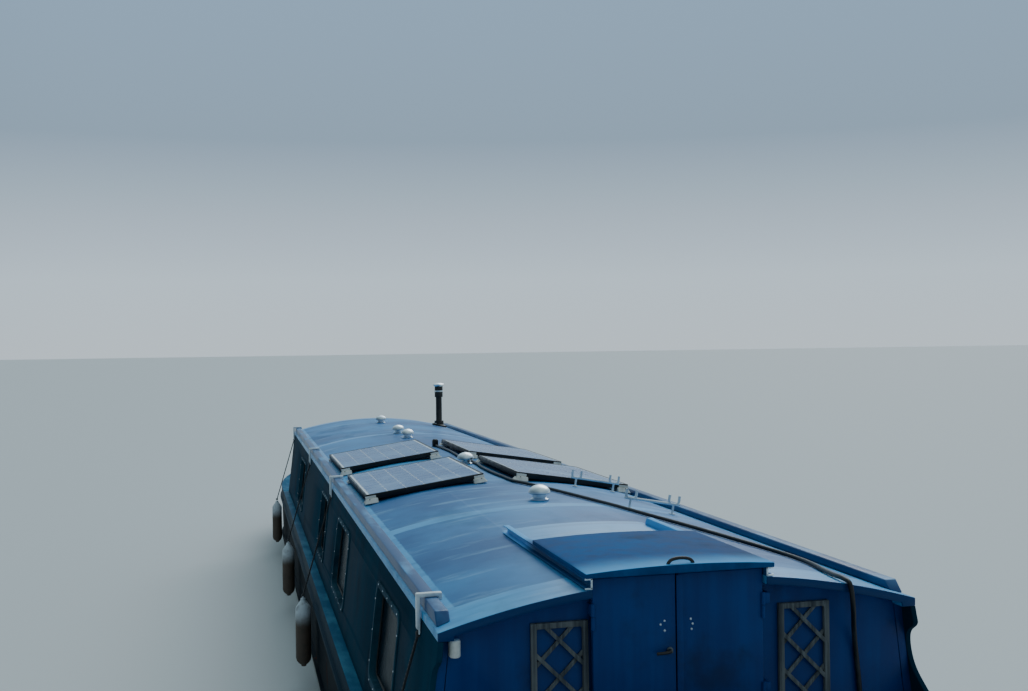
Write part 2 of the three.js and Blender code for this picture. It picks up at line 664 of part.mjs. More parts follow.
// The stern rail follows the counter's edge and stands on its rim. Angles run from starboard round the stern.
const RAIL = { top: 1700, radius: 17, corner: 90, legY: STERN_STRAIGHT_END + 100, postAngles: [38, 90, 142] };
function sternRail() {
  const { top: railZ, radius, corner, legY, postAngles } = RAIL;
  const inset = RIM / 2;
  const half = HULL_HALF_TOP - inset;
  const depth = STERN_STRAIGHT_END - STERN_END - inset;
  const at = (angle, z) =>
    [half * Math.cos(angle * DEGREE), STERN_STRAIGHT_END - depth * Math.sin(angle * DEGREE), z];
  const cornerCut = corner * (1 - Math.SQRT1_2);
  const leg = (x) => [
    [x, legY, GUNWALE_Z + GAP], [x, legY, GUNWALE_Z + 140], [x, legY, railZ - corner],
    [x, legY - cornerCut, railZ - cornerCut], [x, legY - corner, railZ],
  ];
  const sweep = Array.from({ length: 11 }, (_, i) => at(12 + 15.6 * i, railZ));
  const top = bar(radius, [...leg(half), ...sweep, ...leg(-half).reverse()], 3);
  const posts = postAngles.map((angle) => {
    const [x, y] = at(angle, 0);
    return post(radius, x, y, GUNWALE_Z + GAP, railZ, 8);
  });
  return join(top, ...posts);
}
piece('stern_rail', sternRail(), hullBlack(), stern);

// Rudder with its stock, and the swan neck that the tiller bar fits on
const RUDDER = { front: RUDDER_AXIS_Y + 85, aft: RUDDER_AXIS_Y - 265, bottom: 70, top: COUNTER_BOTTOM - 25 };
const NECK_FOOT = DECK_TOP + 60;
function rudder() {
  const halfPlate = 7;
  const blade = block(-halfPlate, halfPlate, RUDDER.aft, RUDDER.front, RUDDER.bottom, RUDDER.top);
  const stock = post(STOCK_RADIUS, 0, RUDDER_AXIS_Y, BASE_THICKNESS + GAP, NECK_FOOT);
  return join(blade, stock);
}
piece('rudder', rudder(), hullBlack(), stern);

// The swan neck's curve. Columns: distance forward of the rudder's axis, height.
const NECK_LINE = [
  [0, NECK_FOOT + 60], [0, 1420], [10, 1560], [90, 1660], [210, 1700], [320, 1725], [400, 1745],
];
const NECK = { radius: 20, collarRadius: 34, collarHeight: 90 };
function swanNeck() {
  const collar = post(NECK.collarRadius, 0, RUDDER_AXIS_Y, NECK_FOOT + GAP, NECK_FOOT + NECK.collarHeight);
  const neck = bar(NECK.radius, NECK_LINE.map(([forward, z]) => [0, RUDDER_AXIS_Y + forward, z]), 3);
  return join(collar, neck);
}
piece('tiller_neck', swanNeck(), steel(), stern);

// Three-bladed propeller. The blades stand askew on the hub by the pitch angle.
const PROPELLER_Y = SWIM_END - 78;
const HUB = { aftRadius: 30, frontRadius: 38, length: 90 };
const SHAFT_LENGTH = 130;
const BLADE = { halfLength: 87, halfWidth: 66, thickness: 9, pitch: 32 * DEGREE };
function propeller() {
  const hub = new THREE.CylinderGeometry(HUB.frontRadius, HUB.aftRadius, HUB.length, 16)
    .translate(0, PROPELLER_Y, PROPELLER_Z);
  const shaft = new THREE.CylinderGeometry(SHAFT_RADIUS, SHAFT_RADIUS, SHAFT_LENGTH, SHAFT_SIDES)
    .translate(0, PROPELLER_Y + 80, PROPELLER_Z);
  const face = new THREE.Shape();
  face.absellipse(0, PROPELLER_RADIUS - BLADE.halfLength, BLADE.halfWidth, BLADE.halfLength, 0, 2 * Math.PI);
  const blades = [0, 120, 240].map((angle) =>
    new THREE.ExtrudeGeometry(face, { depth: BLADE.thickness, bevelEnabled: false, curveSegments: 7 })
      .translate(0, 0, -BLADE.thickness / 2)
      .rotateX(Math.PI / 2)
      .applyMatrix4(new THREE.Matrix4().makeRotationZ(BLADE.pitch))
      .applyMatrix4(new THREE.Matrix4().makeRotationY(angle * DEGREE))
      .translate(0, PROPELLER_Y, PROPELLER_Z));
  return join(hub, shaft, ...blades);
}
piece('propeller', propeller(), paint(0xb08d3c, 0.35, 0.9), stern);

// Bow
const bow = new THREE.Group();
group.add(bow);

// The locker lid lies on the foredeck, which rises towards the stem.
const LOCKER_LID = { aft: LOCKER.aft - 35, front: LOCKER.front + 35, half: LOCKER.half + 35, thickness: 12 };
function lockerLid() {
  const section = [
    [LOCKER_LID.aft, bowTop(LOCKER_LID.aft) + GAP],
    [LOCKER_LID.front, bowTop(LOCKER_LID.front) + GAP],
    [LOCKER_LID.front, bowTop(LOCKER_LID.front) + GAP + LOCKER_LID.thickness],
    [LOCKER_LID.aft, bowTop(LOCKER_LID.aft) + GAP + LOCKER_LID.thickness],
  ];
  return alongX(section, -LOCKER_LID.half, LOCKER_LID.half);
}
piece('gas_locker_lid', lockerLid(), slate(), bow);

const BOW_FENDER = { radius: 76, drop: 60 };
const BOW_FENDER_PROFILE = [
  [0, -190], [50, -175], [72, -90], [BOW_FENDER.radius, 0], [72, 90], [50, 175], [0, 190],
];
piece('bow_fender', turned(BOW_FENDER_PROFILE, 14), rope(), bow)
  .position.set(0, BOW_END + 2 * GAP + BOW_FENDER.radius, GUNWALE_Z - BOW_FENDER.drop);

// Roof furniture
const fittings = new THREE.Group();
group.add(fittings);

// Solar panels lie in pairs, tilted with the roof.
// Columns: name, sign of the side, inner edge, aft edge from the roof's aft end.
const riseOverChord = (x, chord) => (x * (chord - x)) / (2 * ROOF_RADIUS);
const PANELS = [
  ['solar_panel_port_aft', -1, 86, 2900],
  ['solar_panel_port_fwd', -1, 86, 4440],
  ['solar_panel_starboard_aft', 1, 104, 2905],
  ['solar_panel_starboard_fwd', 1, 104, 4361],
];
const PANEL = { width: 710, length: 1085, depth: 33, standoff: 26, footOut: 12, footAlong: 34, footWidth: 80 };

function solarPanel(chord) {
  const { width, length, depth, standoff, footOut, footAlong, footWidth } = PANEL;
  const tray = block(0, width, 0, length, standoff, standoff + depth);
  const footBottom = riseOverChord(width - footWidth + footOut, chord) + 2 * GAP;
  const feet = [];
  for (const x of [-footOut, width - footWidth + footOut]) {
    for (const y of [-footAlong, length - footWidth + footAlong]) {
      feet.push(block(x, x + footWidth, y, y + footWidth, footBottom, standoff + 10));
    }
  }
  return join(tray, ...feet);
}

for (const [name, sign, inner, start] of PANELS) {
  const drop = roofTop(inner) - roofTop(inner + PANEL.width);
  const holder = new THREE.Group();
  holder.position.set(sign * inner, ROOF_AFT + start, roofTop(inner));
  holder.rotation.y = sign * Math.atan2(drop, PANEL.width);
  const geometry = solarPanel(Math.hypot(PANEL.width, drop));
  if (sign < 0) {
    geometry.translate(-PANEL.width, 0, 0);
  }
  fittings.add(holder);
  piece(name, geometry, paint(0x202a38, 0.2), holder);
}

// Mushroom vents along the roof. Columns: x, distance from the roof's aft end.
const VENTS = [[25, 2072], [17, 3998], [-30, 6393], [-36, 6958], [-5, 8516]];
const VENT_PROFILE = [
  [0, 0], [48, 0], [48, 5], [36, 8], [36, 32], [56, 34], [58, 44], [46, 66], [24, 78], [0, 80],
];
VENTS.forEach(([x, along], index) => {
  piece(`mushroom_vent_${index + 1}`, turned(VENT_PROFILE, 20), steel(), fittings)
    .position.set(x, ROOF_AFT + along, roofTop(x) + 3 * GAP);
});

// Cuts a piece so that it beds on the cambered roof, a gap above it.
function beddedOnRoof(geometry, y0, y1) {
  const bed = [
    ...arc((x) => roofTop(x) + GAP, ROOF_HALF, -ROOF_HALF, 24),
    [-ROOF_HALF, EDGE_Z - 200],
    [ROOF_HALF, EDGE_Z - 200],
  ];
  return cut(geometry, alongY(bed, y0, y1));
}

// Chimney near the front: a collar on the roof's slope, an upright pipe, a wider sleeve with a band, and a hat
const CHIMNEY = { x: 700, along: 8900, collar: 82, socket: 52, pipe: 34, sleeve: 46, band: 50, hat: 62 };
function chimney() {
  const { x, along, collar, socket, pipe, sleeve, band, hat } = CHIMNEY;
  const y = ROOF_AFT + along;
  const slope = Math.asin(x / ROOF_RADIUS);
  const flange = turned([[0, -30], [collar, -30], [collar, 14], [socket, 26], [0, 26]], 20).rotateY(slope);
  const flue = turned([
    [0, -20], [socket, -20], [socket, 60], [pipe, 62], [pipe, 326], [sleeve, 328], [sleeve, 386], [band, 388],
    [band, 402], [sleeve, 404], [sleeve, 448], [hat, 460], [hat, 474], [30, 485], [0, 487],
  ], 20);
  return beddedOnRoof(join(flange, flue).translate(x, y, roofTop(x)), y - 2 * collar, y + 2 * collar);
}
piece('chimney', chimney(), hullBlack(), fittings);

// Pole racks: a bar across the starboard half of the roof with a fork at each end.
// Columns: name, distance from the roof's aft end.
const RACKS = [['aft', 1815], ['fwd', 2765]];
const RACK = { x0: 395, x1: 700, height: 62, rod: 7, fork: 34, prong: 38, footHalf: 14 };
for (const [name, along] of RACKS) {
  const y = ROOF_AFT + along;
  const middle = (RACK.x0 + RACK.x1) / 2;
  const slope = Math.atan2(roofTop(RACK.x0) - roofTop(RACK.x1), RACK.x1 - RACK.x0);
  const half = (RACK.x1 - RACK.x0) / 2;
  const rod = RACK.rod;
  const footBottom = riseOverChord(RACK.fork + RACK.footHalf, 2 * half) + GAP;
  const parts = [block(-half, half, -rod, rod, RACK.height - 2 * rod, RACK.height)];
  for (const end of [-1, 1]) {
    const x = end * (half - RACK.fork);
    parts.push(block(x - 6, x + 6, -6, 6, footBottom, RACK.height - rod));
    parts.push(block(x - RACK.footHalf, x + RACK.footHalf, -16, 16, footBottom, footBottom + 4));
    for (const prong of [-1, 1]) {
      const middleX = x + prong * (RACK.fork - rod);
      parts.push(block(middleX - rod, middleX + rod, -rod, rod, RACK.height - rod, RACK.height + RACK.prong));
    }
  }
  const holder = new THREE.Group();
  holder.position.set(middle, y, (roofTop(RACK.x0) + roofTop(RACK.x1)) / 2);
  holder.rotation.y = slope;
  fittings.add(holder);
  piece(`pole_rack_${name}`, join(...parts), cream(), holder);
}

// Trellis panels on the rear bulkhead, either side of the doors.
// Columns: side, its sign, inner edge, outer edge, top above the roof's edge.
const TRELLIS = [['port', -1, 353, 556, -4], ['starboard', 1, 361, 560, 4]];
const TRELLIS_HEIGHT = 640;
const SLAT = { width: 20, depth: 18 };
const LATH = { width: 14, depth: 8, pitch: 128, length: 1200 };
for (const [side, sign, inner, outer, rise] of TRELLIS) {
  const [x0, x1] = sign < 0 ? [-outer, -inner] : [inner, outer];
  const top = EDGE_Z + rise;
  const bottom = top - TRELLIS_HEIGHT;
  const y1 = REAR_FACE - GAP;
  const y0 = y1 - SLAT.depth;
  const rectangle = (inset) => [
    [x0 + inset, bottom + inset], [x1 - inset, bottom + inset],
    [x1 - inset, top - inset], [x0 + inset, top - inset],
  ];
  const frame = alongY(rectangle(0), y0, y1, [rectangle(SLAT.width)]);
  const within = solid(block(x0 + 2, x1 - 2, y0 - 1, y1 + 1, bottom + 2, top - 2));
  const laths = [];
  for (const way of [-1, 1]) {
    for (let k = -3; k <= 3; k += 1) {
      const lath = new THREE.BoxGeometry(LATH.width, LATH.depth, LATH.length)
        .rotateY(way * 45 * DEGREE)
        .translate((x0 + x1) / 2, way < 0 ? y0 + 5 : y0 + 12, (bottom + top) / 2 + k * LATH.pitch);
      laths.push(solid(lath).intersect(within));
    }
  }
  const whole = laths.reduce((sum, next) => sum.add(next), solid(frame));
  piece(`trellis_${side}`, geometryOf(whole), timber(), fittings);
}

// A rounded lamp under the roof's aft edge, on a boss of the bulkhead
function lamp() {
  const back = REAR_FACE - LAMP.bossDepth - GAP;
  const radius = (LAMP.x1 - LAMP.x0) / 2;
  const middle = (LAMP.x0 + LAMP.x1) / 2;
  const body = block(LAMP.x0, LAMP.x1, back - LAMP.depth + radius, back, LAMP.bottom, LAMP.top);
  const nose = post(radius, middle, back - LAMP.depth + radius, LAMP.bottom, LAMP.top, 14);
  return join(body, nose);
}
piece('bulkhead_lamp', lamp(), cream(), fittings);

// The cable that lies along the roof and drops down the rear bulkhead.
// Columns: x, distance from the roof's aft end, height of its axis above the roof.
const CABLE_RADIUS = 9;
const GLAND = { x: 52, along: 5400, half: 22, height: 62 };
function cableGland() {
  const y = ROOF_AFT + GLAND.along;
  const z = roofTop(GLAND.x);
  const box = block(GLAND.x - GLAND.half, GLAND.x + GLAND.half, y, y + 2 * GLAND.half,
    z - 10, z + GLAND.height - 10);
  const dome = turned([[0, 0], [GLAND.half, 0], [GLAND.half, 2], [18, 8], [0, 10]], 16)
    .translate(GLAND.x, y + GLAND.half, z + GLAND.height - 10.5);
  return beddedOnRoof(join(box, dome), y - 10, y + 2 * GLAND.half + 10);
}
piece('cable_gland', cableGland(), rope(), fittings);

// The box on the rear bulkhead that the cable goes down into
const ENTRY = { x: 690, top: EDGE_Z - 600, half: 30, height: 70, depth: 34 };
piece('cable_entry',
  block(ENTRY.x - ENTRY.half, ENTRY.x + ENTRY.half, REAR_FACE - GAP - ENTRY.depth, REAR_FACE - GAP,
    ENTRY.top - ENTRY.height, ENTRY.top), rope(), fittings);

const ROUTE = [
  [GLAND.x, GLAND.along - GAP, 12], [GLAND.x, 5363, 12], [56, 5280, 11], [68, 5080, 11], [72, 4857, 11],
  [62, 4600, 11], [57, 4352, 11], [68, 4150, 11], [76, 3998, 11], [70, 3850, 11], [58, 3650, 11],
  [56, 3300, 11], [68, 3050, 11], [72, 2950, 11], [78, 2850, 11], [112, 2730, 11], [150, 2600, 11],
  [202, 2399, 11], [285, 2057, 11], [358, 1780, 11], [414, 1530, 11], [481, 1290, 11], [545, 1060, 11],
  [600, 863, 11], [652, 690, 11], [686, 520, 11], [676, 370, 11], [642, 230, 11], [618, 110, 12],
  [610, 34, 14],
];
function roofCable() {
  const points = ROUTE.map(([x, along, above]) => [x, ROOF_AFT + along, roofTop(x) + above]);
  const y = ROOF_AFT;
  points.push(
    [611, y - 8, roofTop(611) + 6], [614, y - 17, roofTop(614) - 20], [622, y - 14, EDGE_Z - 16],
    [643, y + 20, EDGE_Z - 88], [664, REAR_FACE - 14, EDGE_Z - 168], [680, REAR_FACE - 12, EDGE_Z - 320],
    [686, REAR_FACE - 13, EDGE_Z - 470], [ENTRY.x, REAR_FACE - 17, ENTRY.top + 40],
    [ENTRY.x, REAR_FACE - 17, ENTRY.top + GAP],
  );
  return bar(CABLE_RADIUS, points, 2);
}
piece('roof_cable', roofCable(), rope(), fittings);

// Fenders hang from hooks over the port handrail. Distances from the roof's aft end.
const FENDERS = [330, 4150, 6414, 9240];
const FENDER = { radius: 52, top: GUNWALE_Z - 90, length: 460, x: -(HULL_HALF_TOP + STRAKE_DEPTH + 52 + 6) };
const HOOK = { strip: 9, halfWidth: 12, innerLeg: 14, outerLeg: 62, play: 9 };
const FENDER_LINE_RADIUS = 6;
FENDERS.forEach((along, index) => {
  const y = ROOF_AFT + along;
  const outer = -RAIL_OUTER;
  const railInner = outer + RAIL_WIDTH;
  const { strip, halfWidth, innerLeg, outerLeg, play } = HOOK;
  const legInner = railInner + GAP;
  const legOuter = -(SIDE_FOOT_HALF - SIDE_LEAN * SIDE_HEIGHT) - play;
  const over = RAIL_TOP + GAP;
  const hookOutline = [
    [legInner, RAIL_TOP - innerLeg], [legInner + strip, RAIL_TOP - innerLeg], [legInner + strip, over + strip],
    [legOuter - strip, over + strip], [legOuter - strip, EDGE_Z - outerLeg],
    [legOuter, EDGE_Z - outerLeg], [legOuter, over], [legInner, over],
  ];
  const hook = alongY(hookOutline, y - halfWidth, y + halfWidth);
  const [topX, topZ] = [legOuter - strip / 2, EDGE_Z - outerLeg + 12];
  const line = bar(FENDER_LINE_RADIUS, [
    [topX, y, topZ], [(topX + FENDER.x) / 2, y, (topZ + FENDER.top) / 2], [FENDER.x, y, FENDER.top - 10],
  ], 2);
  const body = turned([
    [0, -FENDER.length], [28, -FENDER.length + 6], [FENDER.radius, -FENDER.length + 50], [FENDER.radius, -50],
    [30, -8], [0, 0],
  ], 14).translate(FENDER.x, y, FENDER.top);
  piece(`fender_${index + 1}`, join(hook, line, body), cream(), fittings);
});

export default group;
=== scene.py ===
"""A canal narrowboat with a cruiser stern: its finishes, its fine pieces, the studio and the camera.

Metres. +X is starboard, +Y is forward to the bow, +Z is up, as in the frame.
"""

import json
import math

import bmesh
import bpy
from mathutils import Matrix, Vector


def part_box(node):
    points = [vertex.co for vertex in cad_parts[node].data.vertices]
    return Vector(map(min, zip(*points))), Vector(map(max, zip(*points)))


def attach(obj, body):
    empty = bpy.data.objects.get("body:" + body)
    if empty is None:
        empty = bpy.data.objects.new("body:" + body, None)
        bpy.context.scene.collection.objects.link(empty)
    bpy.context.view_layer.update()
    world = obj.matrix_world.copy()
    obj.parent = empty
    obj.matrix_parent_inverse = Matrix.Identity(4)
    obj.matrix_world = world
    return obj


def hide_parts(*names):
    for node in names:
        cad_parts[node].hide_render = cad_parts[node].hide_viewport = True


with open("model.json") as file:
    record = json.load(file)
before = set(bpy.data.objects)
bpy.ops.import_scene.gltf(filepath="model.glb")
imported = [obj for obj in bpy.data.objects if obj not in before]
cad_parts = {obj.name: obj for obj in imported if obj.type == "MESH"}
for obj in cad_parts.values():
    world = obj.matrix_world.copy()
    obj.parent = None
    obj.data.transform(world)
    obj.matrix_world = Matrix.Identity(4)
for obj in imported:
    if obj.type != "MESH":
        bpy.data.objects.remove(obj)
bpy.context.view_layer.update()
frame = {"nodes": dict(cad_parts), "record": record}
NODES = frame["nodes"]
BODY_OF = {
    node: body
    for body, nodes in frame["record"]["behaviour"]["bodies"].items()
    for node in nodes
}
SIDES = (("port", -1), ("starboard", 1))
GAP = 0.0003
BEYOND = 0.1
UP = (0, 0, 1)

# Lines of the cabin, from the frame
ROOF_LOW, ROOF_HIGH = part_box("cabin_roof")
ROOF_AFT = ROOF_LOW.y
ROOF_FRONT = ROOF_HIGH.y
ROOF_HALF = ROOF_HIGH.x
CROWN_Z = ROOF_HIGH.z
ROOF_CAMBER = 0.129
ROOF_THICKNESS = 0.030
EDGE_Z = CROWN_Z - ROOF_CAMBER
ROOF_RADIUS = (ROOF_HALF**2 + ROOF_CAMBER**2) / (2 * ROOF_CAMBER)
REAR_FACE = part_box("rear_bulkhead")[1].y - 0.050
FRONT_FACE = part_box("front_bulkhead")[1].y
GUNWALE_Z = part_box("hull_side_port")[1].z
SIDE_FOOT_HALF = 0.957
SIDE_LEAN = 0.115
WATERLINE_Z = 0.600
DOORWAY_X = -0.028
HATCH_LOW, HATCH_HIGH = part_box("hatch")

WELD = 1e-6


# Shapes


def roof_top(x):
    """Height of the cambered roof's upper face at a distance from the centreline."""
    return CROWN_Z - (ROOF_RADIUS - math.sqrt(ROOF_RADIUS**2 - x**2))


def roof_under(x):
    """Height of the cambered roof's underside at a distance from the centreline."""
    radius = ROOF_RADIUS - ROOF_THICKNESS
    return CROWN_Z - ROOF_THICKNESS - (radius - math.sqrt(radius**2 - x**2))


def placed(name, data):
    """A new object of the data, in the scene."""
    made = bpy.data.objects.new(name, data)
    bpy.context.scene.collection.objects.link(made)
    return made


def mesh_of(shape, name):
    """A mesh of the shape, which is used up."""
    mesh = bpy.data.meshes.new(name)
    shape.to_mesh(mesh)
    shape.free()
    return mesh


def shown_shape(made):
    """The shape that an object shows after its modifiers or its bevel."""
    bpy.context.view_layer.update()
    mesh = bpy.data.meshes.new_from_object(made.evaluated_get(bpy.context.evaluated_depsgraph_get()))
    shape = bmesh.new()
    shape.from_mesh(mesh)
    bpy.data.meshes.remove(mesh)
    bmesh.ops.remove_doubles(shape, verts=shape.verts, dist=WELD)
    return shape


def measures(node):
    """The low corner, the high corner and the middle of a frame node."""
    low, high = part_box(node)
    return low, high, (low + high) / 2


def box(low, high):
    """A block between two corners."""
    shape = bmesh.new()
    size = [b - a for a, b in zip(low, high)]
    middle = [(a + b) / 2 for a, b in zip(low, high)]
    place = Matrix.Translation(middle) @ Matrix.Diagonal((*size, 1))
    bmesh.ops.create_cube(shape, size=1, matrix=place)
    return shape


def rod(start, end, radius, end_radius=None, sides=20):
    """A round bar or a cone between two points."""
    shape = bmesh.new()
    start = Vector(start)
    axis = Vector(end) - start
    place = Matrix.Translation(start + axis / 2) @ axis.to_track_quat("Z", "Y").to_matrix().to_4x4()
    bmesh.ops.create_cone(
        shape,
        cap_ends=True,
        segments=sides,
        radius1=radius,
        radius2=radius if end_radius is None else end_radius,
        depth=axis.length,
        matrix=place,
    )
    return shape


def turned(profile, sides=32):
    """A body of revolution about Z. Its profile's points are (radius, height), from axis to axis."""
    shape = bmesh.new()
    points = [shape.verts.new((r, 0, z)) for r, z in profile]
    lines = [shape.edges.new(pair) for pair in zip(points, points[1:])]
    bmesh.ops.spin(
        shape,
        geom=points + lines,
        cent=(0, 0, 0),
        axis=(0, 0, 1),
        angle=math.tau,
        steps=sides,
        use_merge=True,
        use_duplicate=False,
    )
    bmesh.ops.remove_doubles(shape, verts=shape.verts, dist=WELD)
    bmesh.ops.recalc_face_normals(shape, faces=shape.faces)
    return shape


def slab(points, axis, low, high):
    """An outline drawn out along X, Y or Z. Its points are the two other coordinates, in order."""
    shape = bmesh.new()
    index = "XYZ".index(axis)
    corners = []
    for point in points:
        corner = list(point)
        corner.insert(index, low)
        corners.append(shape.verts.new(corner))
    drawn = bmesh.ops.extrude_face_region(shape, geom=[shape.faces.new(corners)], use_keep_orig=True)["geom"]
    way = [high - low if i == index else 0 for i in range(3)]
    far_end = [item for item in drawn if isinstance(item, bmesh.types.BMVert)]
    bmesh.ops.translate(shape, verts=far_end, vec=way)
    bmesh.ops.recalc_face_normals(shape, faces=shape.faces)
    return shape


def smooth_line(points, per_span=6):
    """A centripetal curve through the points, as a denser list of points."""
    points = [Vector(p) for p in points]
    ends = [2 * points[0] - points[1], *points, 2 * points[-1] - points[-2]]
    line = []
    for i in range(len(points) - 1):
        p0, p1, p2, p3 = ends[i : i + 4]
        t0 = 0.0
        t1 = t0 + math.sqrt((p1 - p0).length)
        t2 = t1 + math.sqrt((p2 - p1).length)
        t3 = t2 + math.sqrt((p3 - p2).length)
        for step in range(per_span):
            t = t1 + (t2 - t1) * step / per_span
            a1 = p0.lerp(p1, (t - t0) / (t1 - t0))
            a2 = p1.lerp(p2, (t - t1) / (t2 - t1))
            a3 = p2.lerp(p3, (t - t2) / (t3 - t2))
            b1 = a1.lerp(a2, (t - t0) / (t2 - t0))
            b2 = a2.lerp(a3, (t - t1) / (t3 - t1))
            line.append(b1.lerp(b2, (t - t1) / (t2 - t1)))
    line.append(points[-1])
    return line


def round_curve(name, line, radius, sides=3):
    """A curve object of one open line with a round section."""
    curve = bpy.data.curves.new(name, "CURVE")
    curve.dimensions = "3D"
    curve.bevel_depth = radius
    curve.bevel_resolution = sides
    curve.use_fill_caps = True
    spline = curve.splines.new("POLY")
    spline.points.add(len(line) - 1)
    for point, place in zip(spline.points, line):
        point.co = (*place, 1)
    spline.use_smooth = True
    return placed(name, curve)


def tube(line, radius, sides=3):
    """A round bar along a line of points, as a shape."""
    made = round_curve("line", line, radius, sides)
    curve = made.data
    shape = shown_shape(made)
    bpy.data.objects.remove(made)
    bpy.data.curves.remove(curve)
    bmesh.ops.recalc_face_normals(shape, faces=shape.faces)
    return shape


def hoop(centre, across, up, thickness, steps=24):
    """A ring of round bar about a centre, through the ends of two radii."""
    centre, across, up = Vector(centre), Vector(across), Vector(up)
    turns = spread(0, math.tau, steps)
    return tube([centre + across * math.cos(t) + up * math.sin(t) for t in turns], thickness)


def together(*shapes):
    """Several shapes as one."""
    whole = bmesh.new()
    for shape in shapes:
        mesh = mesh_of(shape, "part")
        whole.from_mesh(mesh)
        bpy.data.meshes.remove(mesh)
    return whole


def moved(shape, matrix):
    """The shape after a transform, with its faces kept pointing outwards."""
    bmesh.ops.transform(shape, matrix=matrix, verts=shape.verts)
    if matrix.determinant() < 0:
        bmesh.ops.reverse_faces(shape, faces=shape.faces)
    return shape


def softened(shape, width, segments=2, angle=30):
    """The shape with its edges rounded."""
    bmesh.ops.remove_doubles(shape, verts=shape.verts, dist=WELD)
    sharp = [
        edge
        for edge in shape.edges
        if len(edge.link_faces) == 2 and edge.calc_face_angle() > math.radians(angle)
    ]
    bmesh.ops.bevel(
        shape,
        geom=sharp,
        offset=width,
        offset_type="OFFSET",
        segments=segments,
        profile=0.5,
        affect="EDGES",
        clamp_overlap=True,
        material=-1,
    )
    return shape


def block(low, high, width, segments=2):
    """A block between two corners, with rounded edges."""
    return softened(box(low, high), width, segments)


def carved(shape, *cutters):
    """The shape with other shapes cut out of it."""
    stock, *tools = [placed("carving", mesh_of(body, "carving")) for body in (shape, *cutters)]
    for tool in tools:
        cut = stock.modifiers.new("cut", "BOOLEAN")
        cut.operation = "DIFFERENCE"
        cut.solver = "EXACT"
        cut.object = tool
    result = shown_shape(stock)
    for used in [stock, *tools]:
        old = used.data
        bpy.data.objects.remove(used)
        bpy.data.meshes.remove(old)
    bmesh.ops.dissolve_limit(result, angle_limit=math.radians(0.2), verts=result.verts, edges=result.edges)
    return result


def frame_shape(node):
    """A copy of a frame node's mesh, with its triangles joined into whole faces."""
    shape = bmesh.new()
    shape.from_mesh(NODES[node].data)
    bmesh.ops.remove_doubles(shape, verts=shape.verts, dist=2e-5)
    bmesh.ops.dissolve_limit(shape, angle_limit=math.radians(0.5), verts=shape.verts, edges=shape.edges)
    return shape


def rounded_rectangle(a0, a1, b0, b1, radius, steps=6):
    """A rectangle with round corners, as an outline."""
    corners = (
        (a1 - radius, b1 - radius, 0),
        (a0 + radius, b1 - radius, 90),
        (a0 + radius, b0 + radius, 180),
        (a1 - radius, b0 + radius, 270),
    )
    points = []
    for a, b, start in corners:
        for step in range(steps + 1):
            angle = math.radians(start + 90 * step / steps)
            points.append((a + radius * math.cos(angle), b + radius * math.sin(angle)))
    return points


def ring(outer, inner, low, high):
    """A flat frame between two outlines with as many points, drawn out along X."""
    shape = bmesh.new()
    lines = ((low, outer), (high, outer), (high, inner), (low, inner))
    loops = [[shape.verts.new((x, *point)) for point in line] for x, line in lines]
    # Bridging would pair these corners askew, so each face names its own.
    for first, second in zip(loops, loops[1:] + loops[:1]):
        for i in range(len(outer)):
            shape.faces.new((first[i - 1], first[i], second[i], second[i - 1]))
    bmesh.ops.recalc_face_normals(shape, faces=shape.faces)
    return shape


def closed_line(shape, points):
    """New edges in a shape that join the points in a closed line."""
    corners = [shape.verts.new(point) for point in points]
    return [shape.edges.new(pair) for pair in zip(corners, corners[1:] + corners[:1])]


def lofted(rings):
    """A closed skin through rings of as many points."""
    shape = bmesh.new()
    loops = [closed_line(shape, line) for line in rings]
    for first, second in zip(loops, loops[1:]):
        bmesh.ops.bridge_loops(shape, edges=first + second)
    for end in (loops[0], loops[-1]):
        bmesh.ops.edgeloop_fill(shape, edges=end)
    bmesh.ops.recalc_face_normals(shape, faces=shape.faces)
    return shape


def both_sides(line, middle=0):
    """A line of points and then its mirror image across a middle x."""
    return [*line, *[(2 * middle - x, *rest) for x, *rest in reversed(line)]]


def heads(places, way, radius=0.004, height=0.0018):
    """Small domed screw heads that look along way."""
    return together(*[rod(p, Vector(p) + Vector(way) * height, radius, radius * 0.6, 12) for p in places])


def spread(first, last, steps):
    """Evenly spaced values from first to last."""
    return [first + (last - first) * i / steps for i in range(steps + 1)]


def on_side(shape, sign):
    """A shape drawn for the starboard side, put on the starboard or the port side."""
    return moved(shape, Matrix.Scale(-1, 4, (1, 0, 0))) if sign < 0 else shape


def leaned(shape, sign):
    """A panel drawn upright for the starboard side, leaned inwards with height, on either side."""
    lean = Matrix.Identity(4)
    lean[0][2] = -SIDE_LEAN
    lean[0][3] = SIDE_LEAN * GUNWALE_Z
    return on_side(moved(shape, lean), sign)


def piece(name, shape, material, on, replaces=(), smooth=35):
    """Makes a shape a piece that rides with a frame node and may stand for some nodes."""
    mesh = mesh_of(shape, name)
    mesh.materials.append(material)
    mesh.shade_smooth()
    mesh.set_sharp_from_angle(angle=math.radians(smooth))
    made = placed(name, mesh)
    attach(made, BODY_OF[on])
    if replaces:
        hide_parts(*replaces)
    return made


def softened_node(node, material, width=0.002, segments=2):
    """A piece of a frame node's own shape with rounded edges, in its place."""
    return piece(f"{node}_body", softened(frame_shape(node), width, segments), material, node, [node])


def finish_node(node, material):
    """Gives a frame node that stays its finish."""
    NODES[node].data.materials.clear()
    NODES[node].data.materials.append(material)


# Finishes


def arithmetic(operation, swapped=False):
    """A rule that makes a value of two others."""

    def rule(self, other):
        first, second = (other, self) if swapped else (self, other)
        return self.sheet.node("Math", {"operation": operation}, {0: first, 1: second})

    return rule


